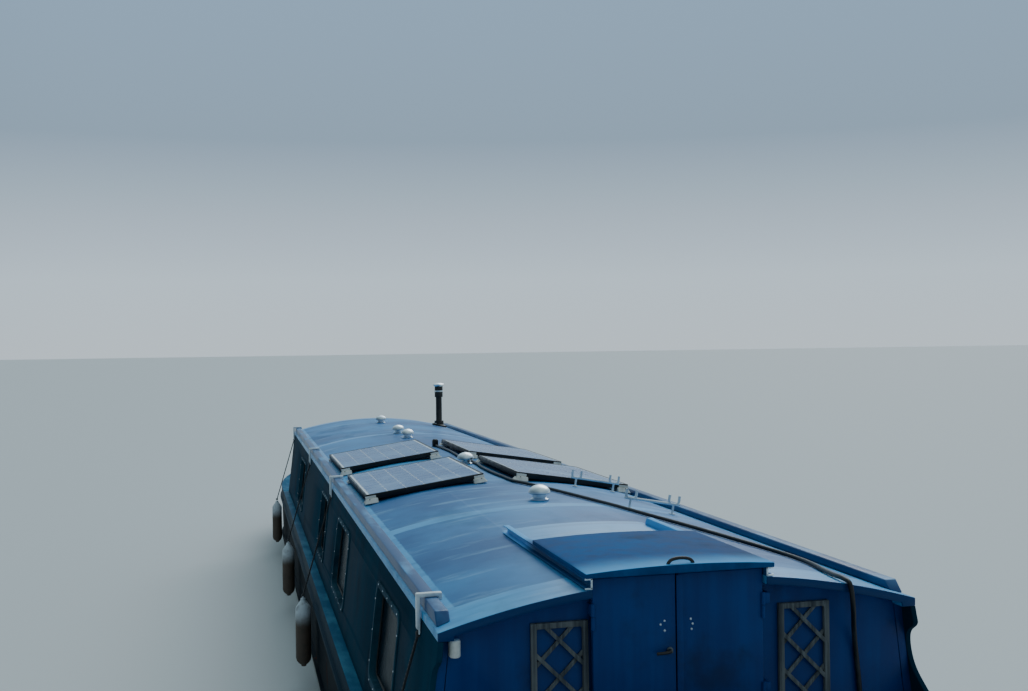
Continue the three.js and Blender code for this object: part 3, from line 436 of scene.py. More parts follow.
class Wire:
    """A value, colour or vector in a finish, so that patterns read as plain sums."""

    def __init__(self, sheet, socket):
        self.sheet = sheet
        self.socket = socket

    def __abs__(self):
        return self.sheet.node("Math", {"operation": "ABSOLUTE"}, {0: self})

    __add__ = arithmetic("ADD")
    __radd__ = arithmetic("ADD", swapped=True)
    __sub__ = arithmetic("SUBTRACT")
    __rsub__ = arithmetic("SUBTRACT", swapped=True)
    __mul__ = arithmetic("MULTIPLY")
    __truediv__ = arithmetic("DIVIDE")
    __mod__ = arithmetic("FLOORED_MODULO")
    higher = arithmetic("MAXIMUM")


def set_stops(stops, tones):
    """Gives a ramp its stops. Each tone is a position, red, green and blue."""
    while len(stops) < len(tones):
        stops.new(0.5)
    for stop, (position, *colour) in zip(stops, tones):
        stop.position = position
        stop.color = (*colour, 1)


class Sheet:
    """A tree of shader nodes over one kind of coordinates."""

    def __init__(self, tree, coordinates):
        self.tree = tree
        self.tree.nodes.clear()
        self.place = self.node("TexCoord", output=coordinates)

    def node(self, kind, settings=None, inputs=None, output=0):
        """One node: its settings, a ramp's stops among them, then the values or links of its sockets."""
        made = self.tree.nodes.new("ShaderNode" + kind)
        for name, value in (settings or {}).items():
            if name == "stops":
                set_stops(made.color_ramp.elements, value)
            else:
                setattr(made, name, value)
        for name, value in (inputs or {}).items():
            socket = made.inputs[name]
            if isinstance(value, Wire):
                self.tree.links.new(value.socket, socket)
            elif hasattr(socket.default_value, "__len__") and hasattr(value, "__len__"):
                socket.default_value = tuple(value)[: len(socket.default_value)]
            else:
                socket.default_value = value
        return None if output is None else Wire(self, made.outputs[output])

    def along(self, axis, vector=None):
        """One part of a vector, which is the tree's own coordinates unless another is given."""
        return self.node("SeparateXYZ", {}, {0: vector or self.place}, axis)

    def step(self, value, low, high):
        """0 below low, 1 above high and a soft ramp between; low may be above high."""
        flip = low > high
        inputs = {"Value": value, "From Min": min(low, high), "From Max": max(low, high)}
        ramp = self.node("MapRange", {"interpolation_type": "SMOOTHSTEP"}, inputs)
        return 1 - ramp if flip else ramp


class Finish(Sheet):
    """One material, whose patterns lie on the piece's own coordinates."""

    def __init__(self, name):
        self.material = bpy.data.materials.new(name)
        self.material.use_nodes = True
        super().__init__(self.material.node_tree, "Object")

    def facing(self):
        """How far a face looks up, from -1 to 1."""
        return self.along("Z", self.node("NewGeometry", output="Normal"))

    def noise(self, scale, detail, stretch=(1, 1, 1), shift=(0, 0, 0)):
        """Cloudy noise from 0 to 1 with so many features to a metre, stretched where a factor is small."""
        where = self.node("Mapping", {}, {"Vector": self.place, "Location": shift, "Scale": stretch})
        inputs = {"Vector": where, "Scale": scale, "Detail": detail, "Roughness": 0.55}
        return self.node("TexNoise", {}, inputs)

    def band(self, value, low, high, soft):
        """1 between low and high, with soft edges."""
        return self.step(value, low - soft, low + soft) * self.step(value, high + soft, high - soft)

    def mix(self, factor, first, second):
        colours = [c if isinstance(c, Wire) else (*c, 1) for c in (first, second)]
        return self.node("Mix", {"data_type": "RGBA"}, {0: factor, 6: colours[0], 7: colours[1]}, 2)

    def patched(self, colour, patch_tone, share, low, high, *pattern, **place):
        """The colour with patches of another tone over it, where a noise rises from low to high: dirt and
        scuffs on the other finishes, and a painted sky sheen on the roof.
        """
        return self.mix(self.step(self.noise(*pattern, **place), low, high) * share, colour, screen(*patch_tone))

    def bump(self, height, distance, strength):
        return self.node("Bump", {}, {"Height": height, "Distance": distance, "Strength": strength})

    def done(self, colour, roughness, normal=None, **constants):
        """Ends the finish. Words such as metallic, alpha or specular set the shader's own sockets."""
        inputs = {"Base Color": colour if isinstance(colour, Wire) else (*colour, 1), "Roughness": roughness}
        if normal is not None:
            inputs["Normal"] = normal
        for word, value in constants.items():
            title = "Specular IOR Level" if word == "specular" else word.replace("_", " ").title()
            inputs[title] = value
        shader = self.node("BsdfPrincipled", {}, inputs)
        self.node("OutputMaterial", {"target": "ALL"}, {"Surface": shader}, None)
        return self.material


def screen(red, green, blue):
    """A colour as it looks on a screen, from 0 to 255, turned into linear values."""
    return tuple(((c / 255 + 0.055) / 1.055) ** 2.4 for c in (red, green, blue))


def side_paint():
    """Slate-blue coach paint with rain streaks and a paler, scuffed foot."""
    f = Finish("slate coach paint")
    streaks = f.noise(9, 6, stretch=(1, 1, 0.07))
    fine = f.noise(70, 3)
    fading = f.step(f.noise(0.8, 4) * 0.75 + streaks * 0.25, 0.40, 0.66)
    foot = f.step(f.along("Z") + streaks * 0.10, GUNWALE_Z + 0.20, GUNWALE_Z - 0.02)
    colour = f.mix(fading * 0.7, screen(8, 46, 66), screen(26, 72, 96))
    colour = f.mix(foot * 0.35, colour, screen(44, 82, 100))
    colour = f.patched(colour, (8, 20, 28), 0.45, 0.55, 0.72, 2.3, 7, shift=(3, 8, 1))
    rough = 0.52 + fading * 0.14 + fine * 0.10
    return f.done(colour, rough, f.bump(f.noise(6, 2) + fine * 0.06, 0.004, 0.35), specular=0.012)


def navy_paint(name, base, faded, dull=0.0, shine=0.3, pale_span=None, highlight_on_top=False):
    """Navy coach paint, chalky in clouds, with drips and small scuffs.

    Between the two places given along the boat, it fades into a paler end. Where this is kept to faces that
    look up, as on the hatch, the pale end is a painted sky highlight.
    """
    f = Finish(name)
    drips = f.noise(16, 6, stretch=(1, 1, 0.06), shift=(2, 0, 5))
    fading = f.step(f.noise(1.7, 5) * 0.6 + drips * 0.4, 0.42, 0.70)
    colour = f.mix(fading * 0.65, screen(*base), screen(*faded))
    colour = f.patched(colour, (1, 20, 46), 0.5, 0.54, 0.74, 4.1, 7, shift=(1, 3, 9))
    colour = f.patched(colour, (54, 96, 140), 0.5, 0.69, 0.74, 26, 8, stretch=(1, 1, 0.5))
    if pale_span is not None:
        ragged = f.noise(7, 6) * 0.08 - 0.04
        pale = f.step(f.along("Y") + ragged, *pale_span)
        # On the hatch the pale end, kept to faces that look up, is a painted sky highlight.
        if highlight_on_top:
            pale = pale * f.step(f.facing(), 0.4, 0.8)
        colour = f.mix(pale * 0.95, colour, screen(104, 184, 242))
    fine = f.noise(90, 3)
    rough = 0.36 + dull + fading * 0.15 + fine * 0.08
    return f.done(colour, rough, f.bump(f.noise(7, 2) + fine * 0.05, 0.003, 0.3), specular=shine)


# Non-slip panels of the roof, measured forward from its aft edge. Columns: start, end.
NON_SLIP = ((0.230, 1.810), (1.930, 4.300), (4.420, 6.900), (7.020, 9.280))
NON_SLIP_MARGIN = 0.100
TRACK_HALF = 0.330
TRACK_END = 1.290
BRUSH_EDGE = 0.004


def roof_paint():
    """Pale steel-blue roof paint: glossy margins, cross bands and hatch track round darker sanded panels,
    with streaks of painted sky sheen and painted shade on the aft-facing lip.
    """
    f = Finish("roof paint")
    x = f.along("X")
    y = f.along("Y")
    edge = f.noise(24, 3) * 0.012 - 0.006
    reach = ROOF_HALF - NON_SLIP_MARGIN
    across = f.step(abs(x) + edge, reach + BRUSH_EDGE, reach - BRUSH_EDGE)
    along = 0.0
    for start, end in NON_SLIP:
        along = f.band(y + edge, ROOF_AFT + start, ROOF_AFT + end, BRUSH_EDGE) + along
    beside_track = f.step(abs(x - DOORWAY_X), TRACK_HALF - BRUSH_EDGE, TRACK_HALF + BRUSH_EDGE)
    track_end = ROOF_AFT + TRACK_END
    beyond_track = f.step(y + edge, track_end - BRUSH_EDGE, track_end + BRUSH_EDGE)
    sanded = across * along * beside_track.higher(beyond_track)
    cloud = f.noise(0.9, 6)
    stains = f.step(f.noise(3.2, 7, stretch=(1, 0.6, 1), shift=(5, 1, 2)), 0.50, 0.74)
    runs = f.step(f.noise(14, 6, stretch=(0.12, 1, 1)), 0.42, 0.70)
    margin = f.mix(runs * 0.6, screen(78, 166, 222), screen(40, 128, 190))
    panel = f.mix(f.step(cloud, 0.38, 0.66), screen(12, 90, 150), screen(50, 138, 198))
    colour = f.mix(sanded, margin, panel)
    # Pale streaks across the roof: a painted sky sheen.
    colour = f.patched(colour, (132, 190, 228), 0.45, 0.54, 0.72, 9, 8, stretch=(0.22, 1, 1), shift=(4, 6, 1))
    colour = f.mix(stains * 0.35, colour, screen(30, 70, 100))
    # The roof's aft-facing lip is painted darker navy: painted shade.
    lip_shade = f.step(y, ROOF_AFT + 0.006, ROOF_AFT + 0.002) * f.step(f.facing(), 0.8, 0.4)
    colour = f.mix(lip_shade, colour, screen(1, 56, 108))
    rough = 0.24 + sanded * 0.12 + stains * 0.16 + cloud * 0.12
    height = f.noise(2.6, 3) * 1.9 + sanded * f.noise(420, 2) * 0.10 + sanded * 0.12
    return f.done(colour, rough, f.bump(height, 0.004, 0.6), specular=0.24)


def rail_paint():
    """Light-blue paint on the handrails, paler in patches that lie mostly on top."""
    f = Finish("rail paint")
    pale_patches = f.step(f.noise(8, 7, stretch=(1, 0.35, 1)), 0.46, 0.70)
    chips = f.step(f.noise(40, 6), 0.70, 0.73)
    top = f.step(f.facing(), 0.75, 0.95)
    colour = f.mix(pale_patches * (top * 0.75 + 0.25), screen(4, 68, 122), screen(74, 148, 198))
    colour = f.mix(chips * 0.8, colour, screen(58, 48, 44))
    normal = f.bump(f.noise(12, 3) - chips * 0.3, 0.002, 0.4)
    return f.done(colour, 0.32 + pale_patches * 0.15, normal, specular=0.4)


def trodden(f):
    """The two blues of walked-on gunwales and decks, and the share of the paler one."""
    worn = f.step(f.noise(6, 7, stretch=(1, 0.4, 1)), 0.42, 0.68)
    return f.mix(worn, screen(34, 90, 124), screen(70, 126, 156)), worn


def hull_paint():
    """Dark hull paint: dull black below, blue-black above, scuffed, with rust and a pale line of scum."""
    f = Finish("hull paint")
    z = f.along("Z")
    cloud = f.noise(1.4, 6)
    upper = f.step(z + cloud * 0.02, 1.10, 1.13)
    deck = f.step(z, GUNWALE_Z - 0.006, GUNWALE_Z - 0.002) * f.step(f.facing(), 0.6, 0.8)
    colour = f.mix(upper, screen(8, 22, 32), screen(10, 44, 62))
    colour = f.patched(colour, (34, 54, 66), 0.25, 0.50, 0.72, 11, 6, stretch=(1, 1, 0.10))
    scum = f.band(z + cloud * 0.05, WATERLINE_Z + 0.02, WATERLINE_Z + 0.06, 0.02)
    colour = f.mix(scum * 0.55, colour, screen(96, 104, 84))
    rust = f.step(f.noise(5, 8, stretch=(1, 1, 0.5), shift=(7, 2, 2)), 0.60, 0.70)
    low = f.step(z, 1.20, 0.70)
    colour = f.mix(rust * low * 0.75, colour, screen(98, 58, 36))
    colour = f.patched(colour, (78, 92, 102), 0.30, 0.64, 0.70, 30, 4, stretch=(1, 0.03, 1))
    colour = f.mix(deck, colour, trodden(f)[0])
    rough = 0.52 + rust * low * 0.25 - upper * 0.12 + cloud * 0.1
    height = f.noise(4, 3) * 1.4 + rust * 0.3 + f.noise(55, 4) * 0.1
    return f.done(colour, rough, f.bump(height, 0.004, 0.5), specular=0.015)


def gunwale_paint():
    """Blue-grey gunwale paint, walked on and dusty."""
    f = Finish("gunwale paint")
    colour, worn = trodden(f)
    colour = f.patched(colour, (28, 38, 44), 0.6, 0.56, 0.72, 14, 7)
    return f.done(colour, 0.42 + worn * 0.2, f.bump(f.noise(40, 4), 0.002, 0.4))


def plain_metal(name, colour, stain, roughness, metallic=1.0, shine=0.5):
    """Bare, plated or painted metal with cloudy tarnish."""
    f = Finish(name)
    tarnish = f.step(f.noise(9, 7), 0.40, 0.72)
    tone = f.mix(tarnish, screen(*colour), screen(*stain))
    rough = roughness + tarnish * 0.2 + f.noise(180, 2) * 0.05
    return f.done(tone, rough, f.bump(f.noise(108, 3), 0.0006, 0.4), metallic=metallic, specular=shine)


def plastic(name, colour, patch_tone, roughness):
    """Moulded plastic or rubber, dirty in patches."""
    f = Finish(name)
    patches = f.step(f.noise(12, 7), 0.45, 0.72)
    tone = f.mix(patches * 0.5, screen(*colour), screen(*patch_tone))
    tone = f.patched(tone, patch_tone, 0.4, 0.66, 0.72, 168, 4)
    return f.done(tone, roughness + patches * 0.12, f.bump(f.noise(108, 3), 0.0006, 0.35))


def tinted_glass():
    """Dark tinted window glass with a film of dust."""
    f = Finish("tinted glass")
    dust = f.step(f.noise(5, 6, stretch=(1, 1, 0.4)), 0.40, 0.75)
    tone = f.mix(dust * 0.3, screen(6, 28, 40), screen(44, 74, 88))
    return f.done(tone, 0.20 + dust * 0.16, alpha=0.92, specular=0.02)


def grey_timber():
    """Weathered timber with upright grain."""
    f = Finish("grey timber")
    grain = f.noise(70, 6, stretch=(1, 1, 0.05))
    aged = f.step(grain * 0.7 + f.noise(5, 4) * 0.3, 0.34, 0.66)
    tone = f.mix(aged, screen(52, 58, 64), screen(118, 122, 122))
    return f.done(tone, 0.75 + grain * 0.15, f.bump(grain, 0.0015, 0.7))


def joints(f, axis, width, end):
    """The seams between boards of a width along one axis."""
    return f.step(abs(f.along(axis) / width % 1 - 0.5), 0.470, end)


def boards():
    """Varnished boards of the cabin floor."""
    f = Finish("floor boards")
    joint = joints(f, "X", 0.14, 0.495)
    grain = f.noise(60, 6, stretch=(1, 0.05, 1))
    tone = f.mix(f.step(grain, 0.35, 0.66), screen(92, 62, 38), screen(140, 100, 64))
    tone = f.mix(joint, tone, screen(30, 22, 16))
    return f.done(tone, 0.38, f.bump(grain * 0.2 - joint, 0.001, 0.6))


def lining_wood():
    """Pale tongue-and-groove lining inside the cabin."""
    f = Finish("cabin lining")
    groove = joints(f, "Z", 0.09, 0.492)
    grain = f.noise(45, 6, stretch=(1, 0.06, 1))
    tone = f.mix(f.step(grain, 0.35, 0.66), screen(150, 112, 70), screen(186, 148, 102))
    tone = f.mix(groove * 0.8, tone, screen(70, 46, 26))
    return f.done(tone, 0.42, f.bump(grain * 0.15 - groove, 0.0015, 0.7))


def cell_glass():
    """Blue-grey cells under glass, with fine silver lines and a film of dust."""
    f = Finish("solar cells")
    lines = f.step(abs(f.along("X") / 0.0175 % 1 - 0.5), 0.455, 0.485)
    dust = f.step(f.noise(3.5, 6), 0.38, 0.74)
    tone = f.mix(dust * 0.6, screen(74, 114, 166), screen(160, 194, 226))
    tone = f.mix(lines * 0.30, tone, screen(168, 184, 200))
    flakes = f.node("TexVoronoi", {}, {"Vector": f.place, "Scale": 26}, "Color")
    tint = f.node("SeparateColor", {}, {"Color": flakes})
    tone = f.mix(f.step(tint, 0.2, 0.9) * 0.15, tone, screen(84, 112, 156))
    return f.done(tone, 0.24 + dust * 0.14, specular=0.34)


def back_sheet():
    """The pale sheet that shows between the cells."""
    f = Finish("back sheet")
    tone = f.mix(f.noise(6, 5), screen(220, 232, 242), screen(232, 240, 246))
    return f.done(tone, 0.30, specular=0.34)


def cord_rubber():
    """Black sheathing of the cable, greyed by dust."""
    f = Finish("cable sheath")
    dust = f.step(f.noise(18, 6), 0.46, 0.74)
    tone = f.mix(dust * 0.4, screen(18, 19, 22), screen(70, 76, 82))
    return f.done(tone, 0.42 + dust * 0.2, f.bump(f.noise(220, 2), 0.0004, 0.3))


def braided(name, colour, light, pitch):
    """Braided rope: a diagonal weave with a soft sheen. The pitch is in radians to a metre."""
    f = Finish(name)
    x, y, z = [f.along(axis) for axis in "XYZ"]
    ways = (x + y + z, z - x - y)
    slant, cross = [f.node("Math", {"operation": "SINE"}, {0: way * pitch}) for way in ways]
    weave = slant * cross * 0.5 + 0.5
    tone = f.mix(weave * f.noise(20, 5), screen(*colour), screen(*light))
    return f.done(tone, 0.85, f.bump(weave, 0.002, 0.8), sheen_weight=0.3)


def fender_skin():
    """White fender plastic with a dirty brown body below its shoulder."""
    f = Finish("fender plastic")
    cloud = f.noise(16, 6)
    foot = f.step(f.along("Z") + cloud * 0.08, GUNWALE_Z - 0.13, GUNWALE_Z - 0.24)
    tone = f.mix(foot, screen(206, 218, 226), screen(84, 72, 62))
    tone = f.mix(f.step(cloud, 0.48, 0.70) * 0.5, tone, screen(62, 56, 50))
    return f.done(tone, 0.46 + foot * 0.2, f.bump(f.noise(90, 3), 0.001, 0.4))


# Where the hatch's top fades into a painted sky highlight near its aft end, and the runners into a paler
# forward end: no pale tone, then full pale tone
HATCH_HIGHLIGHT = (HATCH_LOW.y + 0.230, HATCH_LOW.y - 0.060)
RUNNER_PALE_END = (ROOF_AFT + 0.720, ROOF_AFT + 0.880)

PAINT_SIDE = side_paint()
PAINT_NAVY = navy_paint("navy coach paint", (1, 50, 116), (4, 78, 150))
PAINT_HATCH = navy_paint("hatch paint", (1, 66, 120), (6, 104, 168), 0.12, 0.05, HATCH_HIGHLIGHT, True)
PAINT_RUNNER = navy_paint("runner paint", (1, 70, 124), (16, 112, 172), 0.10, 0.12, RUNNER_PALE_END)
PAINT_ROOF = roof_paint()
PAINT_RAIL = rail_paint()
PAINT_HULL = hull_paint()
PAINT_GUNWALE = gunwale_paint()
BLACK_METAL = plain_metal("black iron paint", (24, 26, 30), (66, 58, 52), 0.40, metallic=0.0)
BRIGHT_STEEL = plain_metal("polished steel", (236, 246, 252), (196, 210, 220), 0.34)
DULL_ALUMINIUM = plain_metal("weathered aluminium", (128, 134, 138), (74, 82, 88), 0.34)
WINDOW_FRAME = plain_metal("window frame paint", (44, 78, 96), (24, 50, 66), 0.6, metallic=0.0, shine=0.03)
BLACK_FRAME = plain_metal("black anodised frame", (26, 28, 32), (48, 50, 54), 0.34, metallic=0.4)
BRONZE = plain_metal("propeller bronze", (150, 112, 58), (74, 84, 62), 0.34)
CREAM = plastic("cream plastic", (236, 236, 230), (156, 154, 142), 0.44)
WHITE_COATING = plastic("white rubber coating", (226, 238, 246), (150, 162, 170), 0.5)
BLACK_PLASTIC = plastic("black plastic", (24, 25, 28), (70, 72, 74), 0.45)
GLASS = tinted_glass()
TIMBER = grey_timber()
FLOOR_BOARDS = boards()
LINING = lining_wood()
CELLS = cell_glass()
BACK_SHEET = back_sheet()
SHEATH = cord_rubber()
ROPE = braided("black rope", (20, 22, 26), (58, 62, 68), 660)
FENDER_ROPE = braided("bow fender rope", (52, 50, 46), (104, 98, 86), 108)
FENDER_SKIN = fender_skin()
ENGINE_GREEN = plain_metal("engine enamel", (36, 66, 48), (24, 34, 30), 0.4, metallic=0.0)


# Camera, at the photographer's place above the path

FOCAL_PIXELS = 1123
IMAGE_WIDTH = 1028
SENSOR = 36.0
CAMERA_PLACE = Vector((-1.510, -8.971, 2.866))
CAMERA_YAW = math.radians(13.87)
CAMERA_PITCH = math.radians(0.05)
CAMERA_ROLL = math.radians(-0.75)


def make_camera():
    data = bpy.data.cameras.new("camera")
    data.sensor_width = SENSOR
    data.lens = FOCAL_PIXELS / IMAGE_WIDTH * SENSOR
    made = placed("camera", data)
    yaw = Matrix.Rotation(-CAMERA_YAW, 4, "Z")
    pitch = Matrix.Rotation(math.pi / 2 + CAMERA_PITCH, 4, "X")
    roll = Matrix.Rotation(CAMERA_ROLL, 4, "Z")
    made.matrix_world = Matrix.Translation(CAMERA_PLACE) @ yaw @ pitch @ roll
    bpy.context.scene.camera = made


# The cable along the roof. Columns: x, distance from the roof's aft end, height of its axis above the roof.

CABLE_RADIUS = 0.009
GLAND_X = 0.052
GLAND_ALONG = 5.400
CABLE_ROUTE = (
    (GLAND_X, GLAND_ALONG - GAP, 0.012), (GLAND_X, 5.363, 0.012), (0.056, 5.280, 0.011),
    (0.068, 5.080, 0.011), (0.072, 4.857, 0.011), (0.062, 4.600, 0.011), (0.057, 4.352, 0.011),
    (0.068, 4.150, 0.011), (0.076, 3.998, 0.011), (0.070, 3.850, 0.011), (0.058, 3.650, 0.011),
    (0.056, 3.300, 0.011), (0.068, 3.050, 0.011), (0.072, 2.950, 0.011), (0.078, 2.850, 0.011),
    (0.112, 2.730, 0.011), (0.150, 2.600, 0.011), (0.202, 2.399, 0.011), (0.285, 2.057, 0.011),
    (0.358, 1.780, 0.011), (0.414, 1.530, 0.011), (0.481, 1.290, 0.011), (0.545, 1.060, 0.011),
    (0.600, 0.863, 0.011), (0.652, 0.690, 0.011), (0.686, 0.520, 0.011), (0.676, 0.370, 0.011),
    (0.642, 0.230, 0.011), (0.618, 0.110, 0.012), (0.610, 0.034, 0.014),
)
ENTRY_X = 0.690
ENTRY_TOP = EDGE_Z - 0.600
CABLE_DROP = (
    (0.611, ROOF_AFT - 0.008, roof_top(0.611) + 0.006),
    (0.614, ROOF_AFT - 0.017, roof_top(0.614) - 0.020),
    (0.622, ROOF_AFT - 0.014, EDGE_Z - 0.016),
    (0.643, ROOF_AFT + 0.020, EDGE_Z - 0.088),
    (0.664, REAR_FACE - 0.014, EDGE_Z - 0.168),
    (0.680, REAR_FACE - 0.012, EDGE_Z - 0.320),
    (0.686, REAR_FACE - 0.013, EDGE_Z - 0.470),
    (ENTRY_X, REAR_FACE - 0.017, ENTRY_TOP + 0.040),
    (ENTRY_X, REAR_FACE - 0.017, ENTRY_TOP + GAP),
)


def make_cable():
    on_roof = [(x, ROOF_AFT + along, roof_top(x) + above) for x, along, above in CABLE_ROUTE]
    line = smooth_line([*on_roof, *CABLE_DROP], 5)
    made = round_curve("cable_sheath", line, CABLE_RADIUS, 4)
    made.data.materials.append(SHEATH)
    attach(made, BODY_OF["roof_cable"])
    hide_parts("roof_cable")
    length = sum((b - a).length for a, b in zip(line, line[1:]))


make_camera()
make_cable()


# Hull

# Half of the swim from above, as y and half-width
SWIM = (
    (REAR_FACE - GAP, 0.985), (-5.520, 0.880), (-5.780, 0.640),
    (-6.030, 0.360), (-6.220, 0.150), (-6.300, 0.050),
)
BASE_TOP = 0.015
COUNTER_BOTTOM = 0.480
STERN_STRAIGHT_END = -6.050
STERN_END = -6.850
HULL_HALF_TOP = 1.015
HULL_HALF_BASE = 0.985
STRAKES = (0.700, 1.120)
STRAKE_SHEER = (0.6, 1.0)
STRAKE_HEIGHT = 0.032
STRAKE_DEPTH = 0.020
STRAKE_CHAMFER = 0.004
DECK_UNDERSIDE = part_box("stern_deck")[0].z
RIM = 0.056
BAY = ((-0.820, -6.380, 0.500), (0.820, REAR_FACE - 0.060, GUNWALE_Z + BEYOND))
PIT = ((-0.300, -5.960, 0.300), (0.300, REAR_FACE - 0.060, GUNWALE_Z + BEYOND))
RUDDER_Y = -6.560
STOCK_HOLE_RADIUS = 0.025
PROPELLER_Z = 0.250
STERN_TUBE_RADIUS = 0.045
STERN_TUBE_BORE = 0.0226
STERN_TUBE_LENGTH = 0.120


def stern_outline(inset, front):
    """The counter's outline from above, with a round end, inset from the gunwale's edge."""
    half = HULL_HALF_TOP - inset
    depth = STERN_STRAIGHT_END - STERN_END - inset
    turns = [math.pi * i / 48 for i in range(49)]
    curve = [(half * math.cos(turn), STERN_STRAIGHT_END - depth * math.sin(turn)) for turn in turns]
    return [(half, front), *curve, (-half, front)]


def hull_half(z):
    """Half-width of the hull's outer face at a height."""
    return HULL_HALF_BASE + (HULL_HALF_TOP - HULL_HALF_BASE) * (z - BASE_TOP) / (GUNWALE_Z - BASE_TOP)


def counter_ring(z, proud=0.0):
    inset = HULL_HALF_TOP - hull_half(z) - proud
    return [(x, y, z) for x, y in stern_outline(inset, REAR_FACE - GAP)]


def stern_shell():
    rings = [counter_ring(COUNTER_BOTTOM)]
    for level in STRAKES:
        top = level + STRAKE_HEIGHT
        rings += [counter_ring(level), counter_ring(level + STRAKE_CHAMFER, STRAKE_DEPTH)]
        rings += [counter_ring(top - STRAKE_CHAMFER, STRAKE_DEPTH), counter_ring(top)]
    rings.append(counter_ring(GUNWALE_Z))
    recess = slab(stern_outline(RIM, REAR_FACE + BEYOND), "Z", DECK_UNDERSIDE, GUNWALE_Z + BEYOND)
    stock_hole = rod((0, RUDDER_Y, 0), (0, RUDDER_Y, GUNWALE_Z), STOCK_HOLE_RADIUS)
    counter = carved(lofted(rings), recess, box(*BAY), box(*PIT), stock_hole)
    piece("stern_counter", softened(counter, 0.003), PAINT_HULL, "stern_shell", ["stern_shell"])
    side = [(p.x, p.y) for p in smooth_line([(half, y, 0) for y, half in SWIM], 6)]
    swim = carved(slab(both_sides(side), "Z", BASE_TOP, COUNTER_BOTTOM + 0.001), box(*PIT))
    piece("stern_swim", swim, PAINT_HULL, "stern_shell")
    aft = Vector((0, SWIM[-1][0] - 0.030, PROPELLER_Z))
    front = aft + Vector((0, STERN_TUBE_LENGTH, 0))
    past = Vector((0, BEYOND, 0))
    bore = rod(aft - past, front + past, STERN_TUBE_BORE, sides=32)
    stern_tube = carved(rod(aft, front, STERN_TUBE_RADIUS, sides=40), bore)
    piece("stern_tube", stern_tube, BLACK_METAL, "stern_shell")


# The bow, station by station. Columns: y, half-width at the gunwale, half-width at the base, gunwale height.
BOW = (
    (FRONT_FACE, 1.015, 0.985, 1.260),
    (4.700, 1.008, 0.965, 1.268),
    (5.260, 0.930, 0.835, 1.288),
    (5.850, 0.730, 0.570, 1.318),
    (6.330, 0.440, 0.270, 1.350),
    (6.640, 0.180, 0.080, 1.375),
    (6.800, 0.045, 0.020, 1.390),
)
BOW_STATIONS = smooth_line(BOW, 5)
WELL_FLOOR_Z = 0.660
WELL_SIDE = ((0.925, FRONT_FACE - 0.001), (0.905, 4.700), (0.830, 5.260))
LOCKER_LOW = (-0.300, 5.430, 0.900)
LOCKER_HIGH = (0.300, 5.950, 1.500)
STUD_Y = 6.180
STUD_BAR_HEIGHT = 0.100
STUD_BAR_HALF = 0.095
STUD_FOOT_HALF = 0.060


def bow_top(y):
    """Height of the foredeck at a distance along the hull."""
    for before, after in zip(BOW, BOW[1:]):
        if y <= after[0]:
            return before[3] + (after[3] - before[3]) * (y - before[0]) / (after[0] - before[0])
    return BOW[-1][3]


def bow_side(top, base, z):
    """The starboard half of a bow station over both strakes, from its foot up, as x and height."""

    def half(height):
        return base + (top - base) * (height - BASE_TOP) / (z - BASE_TOP)

    line = [(base, BASE_TOP)]
    for level, share in zip(STRAKES, STRAKE_SHEER):
        low = level + share * (z - GUNWALE_Z)
        high = low + STRAKE_HEIGHT
        proud = half(low) + STRAKE_DEPTH
        line += [(half(low), low), (proud, low + STRAKE_CHAMFER)]
        line += [(proud, high - STRAKE_CHAMFER), (half(high), high)]
    return [*line, (top, z)]


def bow_shell():
    rings = []
    for y, top, base, z in BOW_STATIONS:
        rings.append(both_sides([(-x, y + GAP, height) for x, height in bow_side(top, base, z)]))
    well = slab(both_sides(WELL_SIDE), "Z", WELL_FLOOR_Z, GUNWALE_Z + 2 * BEYOND)
    hull = softened(carved(lofted(rings), well, box(LOCKER_LOW, LOCKER_HIGH)), 0.003)
    piece("bow_hull", hull, PAINT_HULL, "bow_shell", ["bow_shell"])


def bow_stud():
    """A cross-shaped mooring post on a square foot."""
    deck = bow_top(STUD_Y)
    foot = STUD_FOOT_HALF
    bar_z = deck + STUD_BAR_HEIGHT
    post = rod((0, STUD_Y, deck - 0.020), (0, STUD_Y, bar_z + 0.005), 0.022, sides=36)
    bar = rod((-STUD_BAR_HALF, STUD_Y, bar_z), (STUD_BAR_HALF, STUD_Y, bar_z), 0.016, sides=36)
    plate = block((-foot, STUD_Y - foot, deck), (foot, STUD_Y + foot, deck + 0.014), 0.002)
    piece("bow_stud", together(post, softened(bar, 0.003), plate), BLACK_METAL, "bow_shell")


def hull_sides():
    for node in ("hull_side_port", "hull_side_starboard"):
        piece(f"{node}_plate", softened(frame_shape(node), 0.0025, 2), PAINT_HULL, node, [node])


# Cabin

EAVE_INNER = ROOF_HALF - 0.055
EAVE_Z = EDGE_Z - ROOF_THICKNESS
SLOT_HALF = 0.322
SLOT_LENGTH = 0.640
SKIN = 0.020
LINING_DEPTH = 0.0297
LINING_SETBACK = 0.052
FRAME_WIDTH = 0.026
FRAME_PROUD = 0.007
WINDOW_NUMBERS = (1, 2, 3, 4)

# The aft edge of a cabin side. Columns: forward of the roof's aft edge, below the roof's side edge.
WING = (
    (0.000, 0.030), (-0.002, 0.060), (-0.004, 0.092), (0.042, 0.130), (0.055, 0.154), (0.058, 0.206),
    (0.040, 0.265), (-0.020, 0.332), (-0.112, 0.415), (-0.215, 0.510), (-0.300, 0.605), (-0.340, 0.670),
)


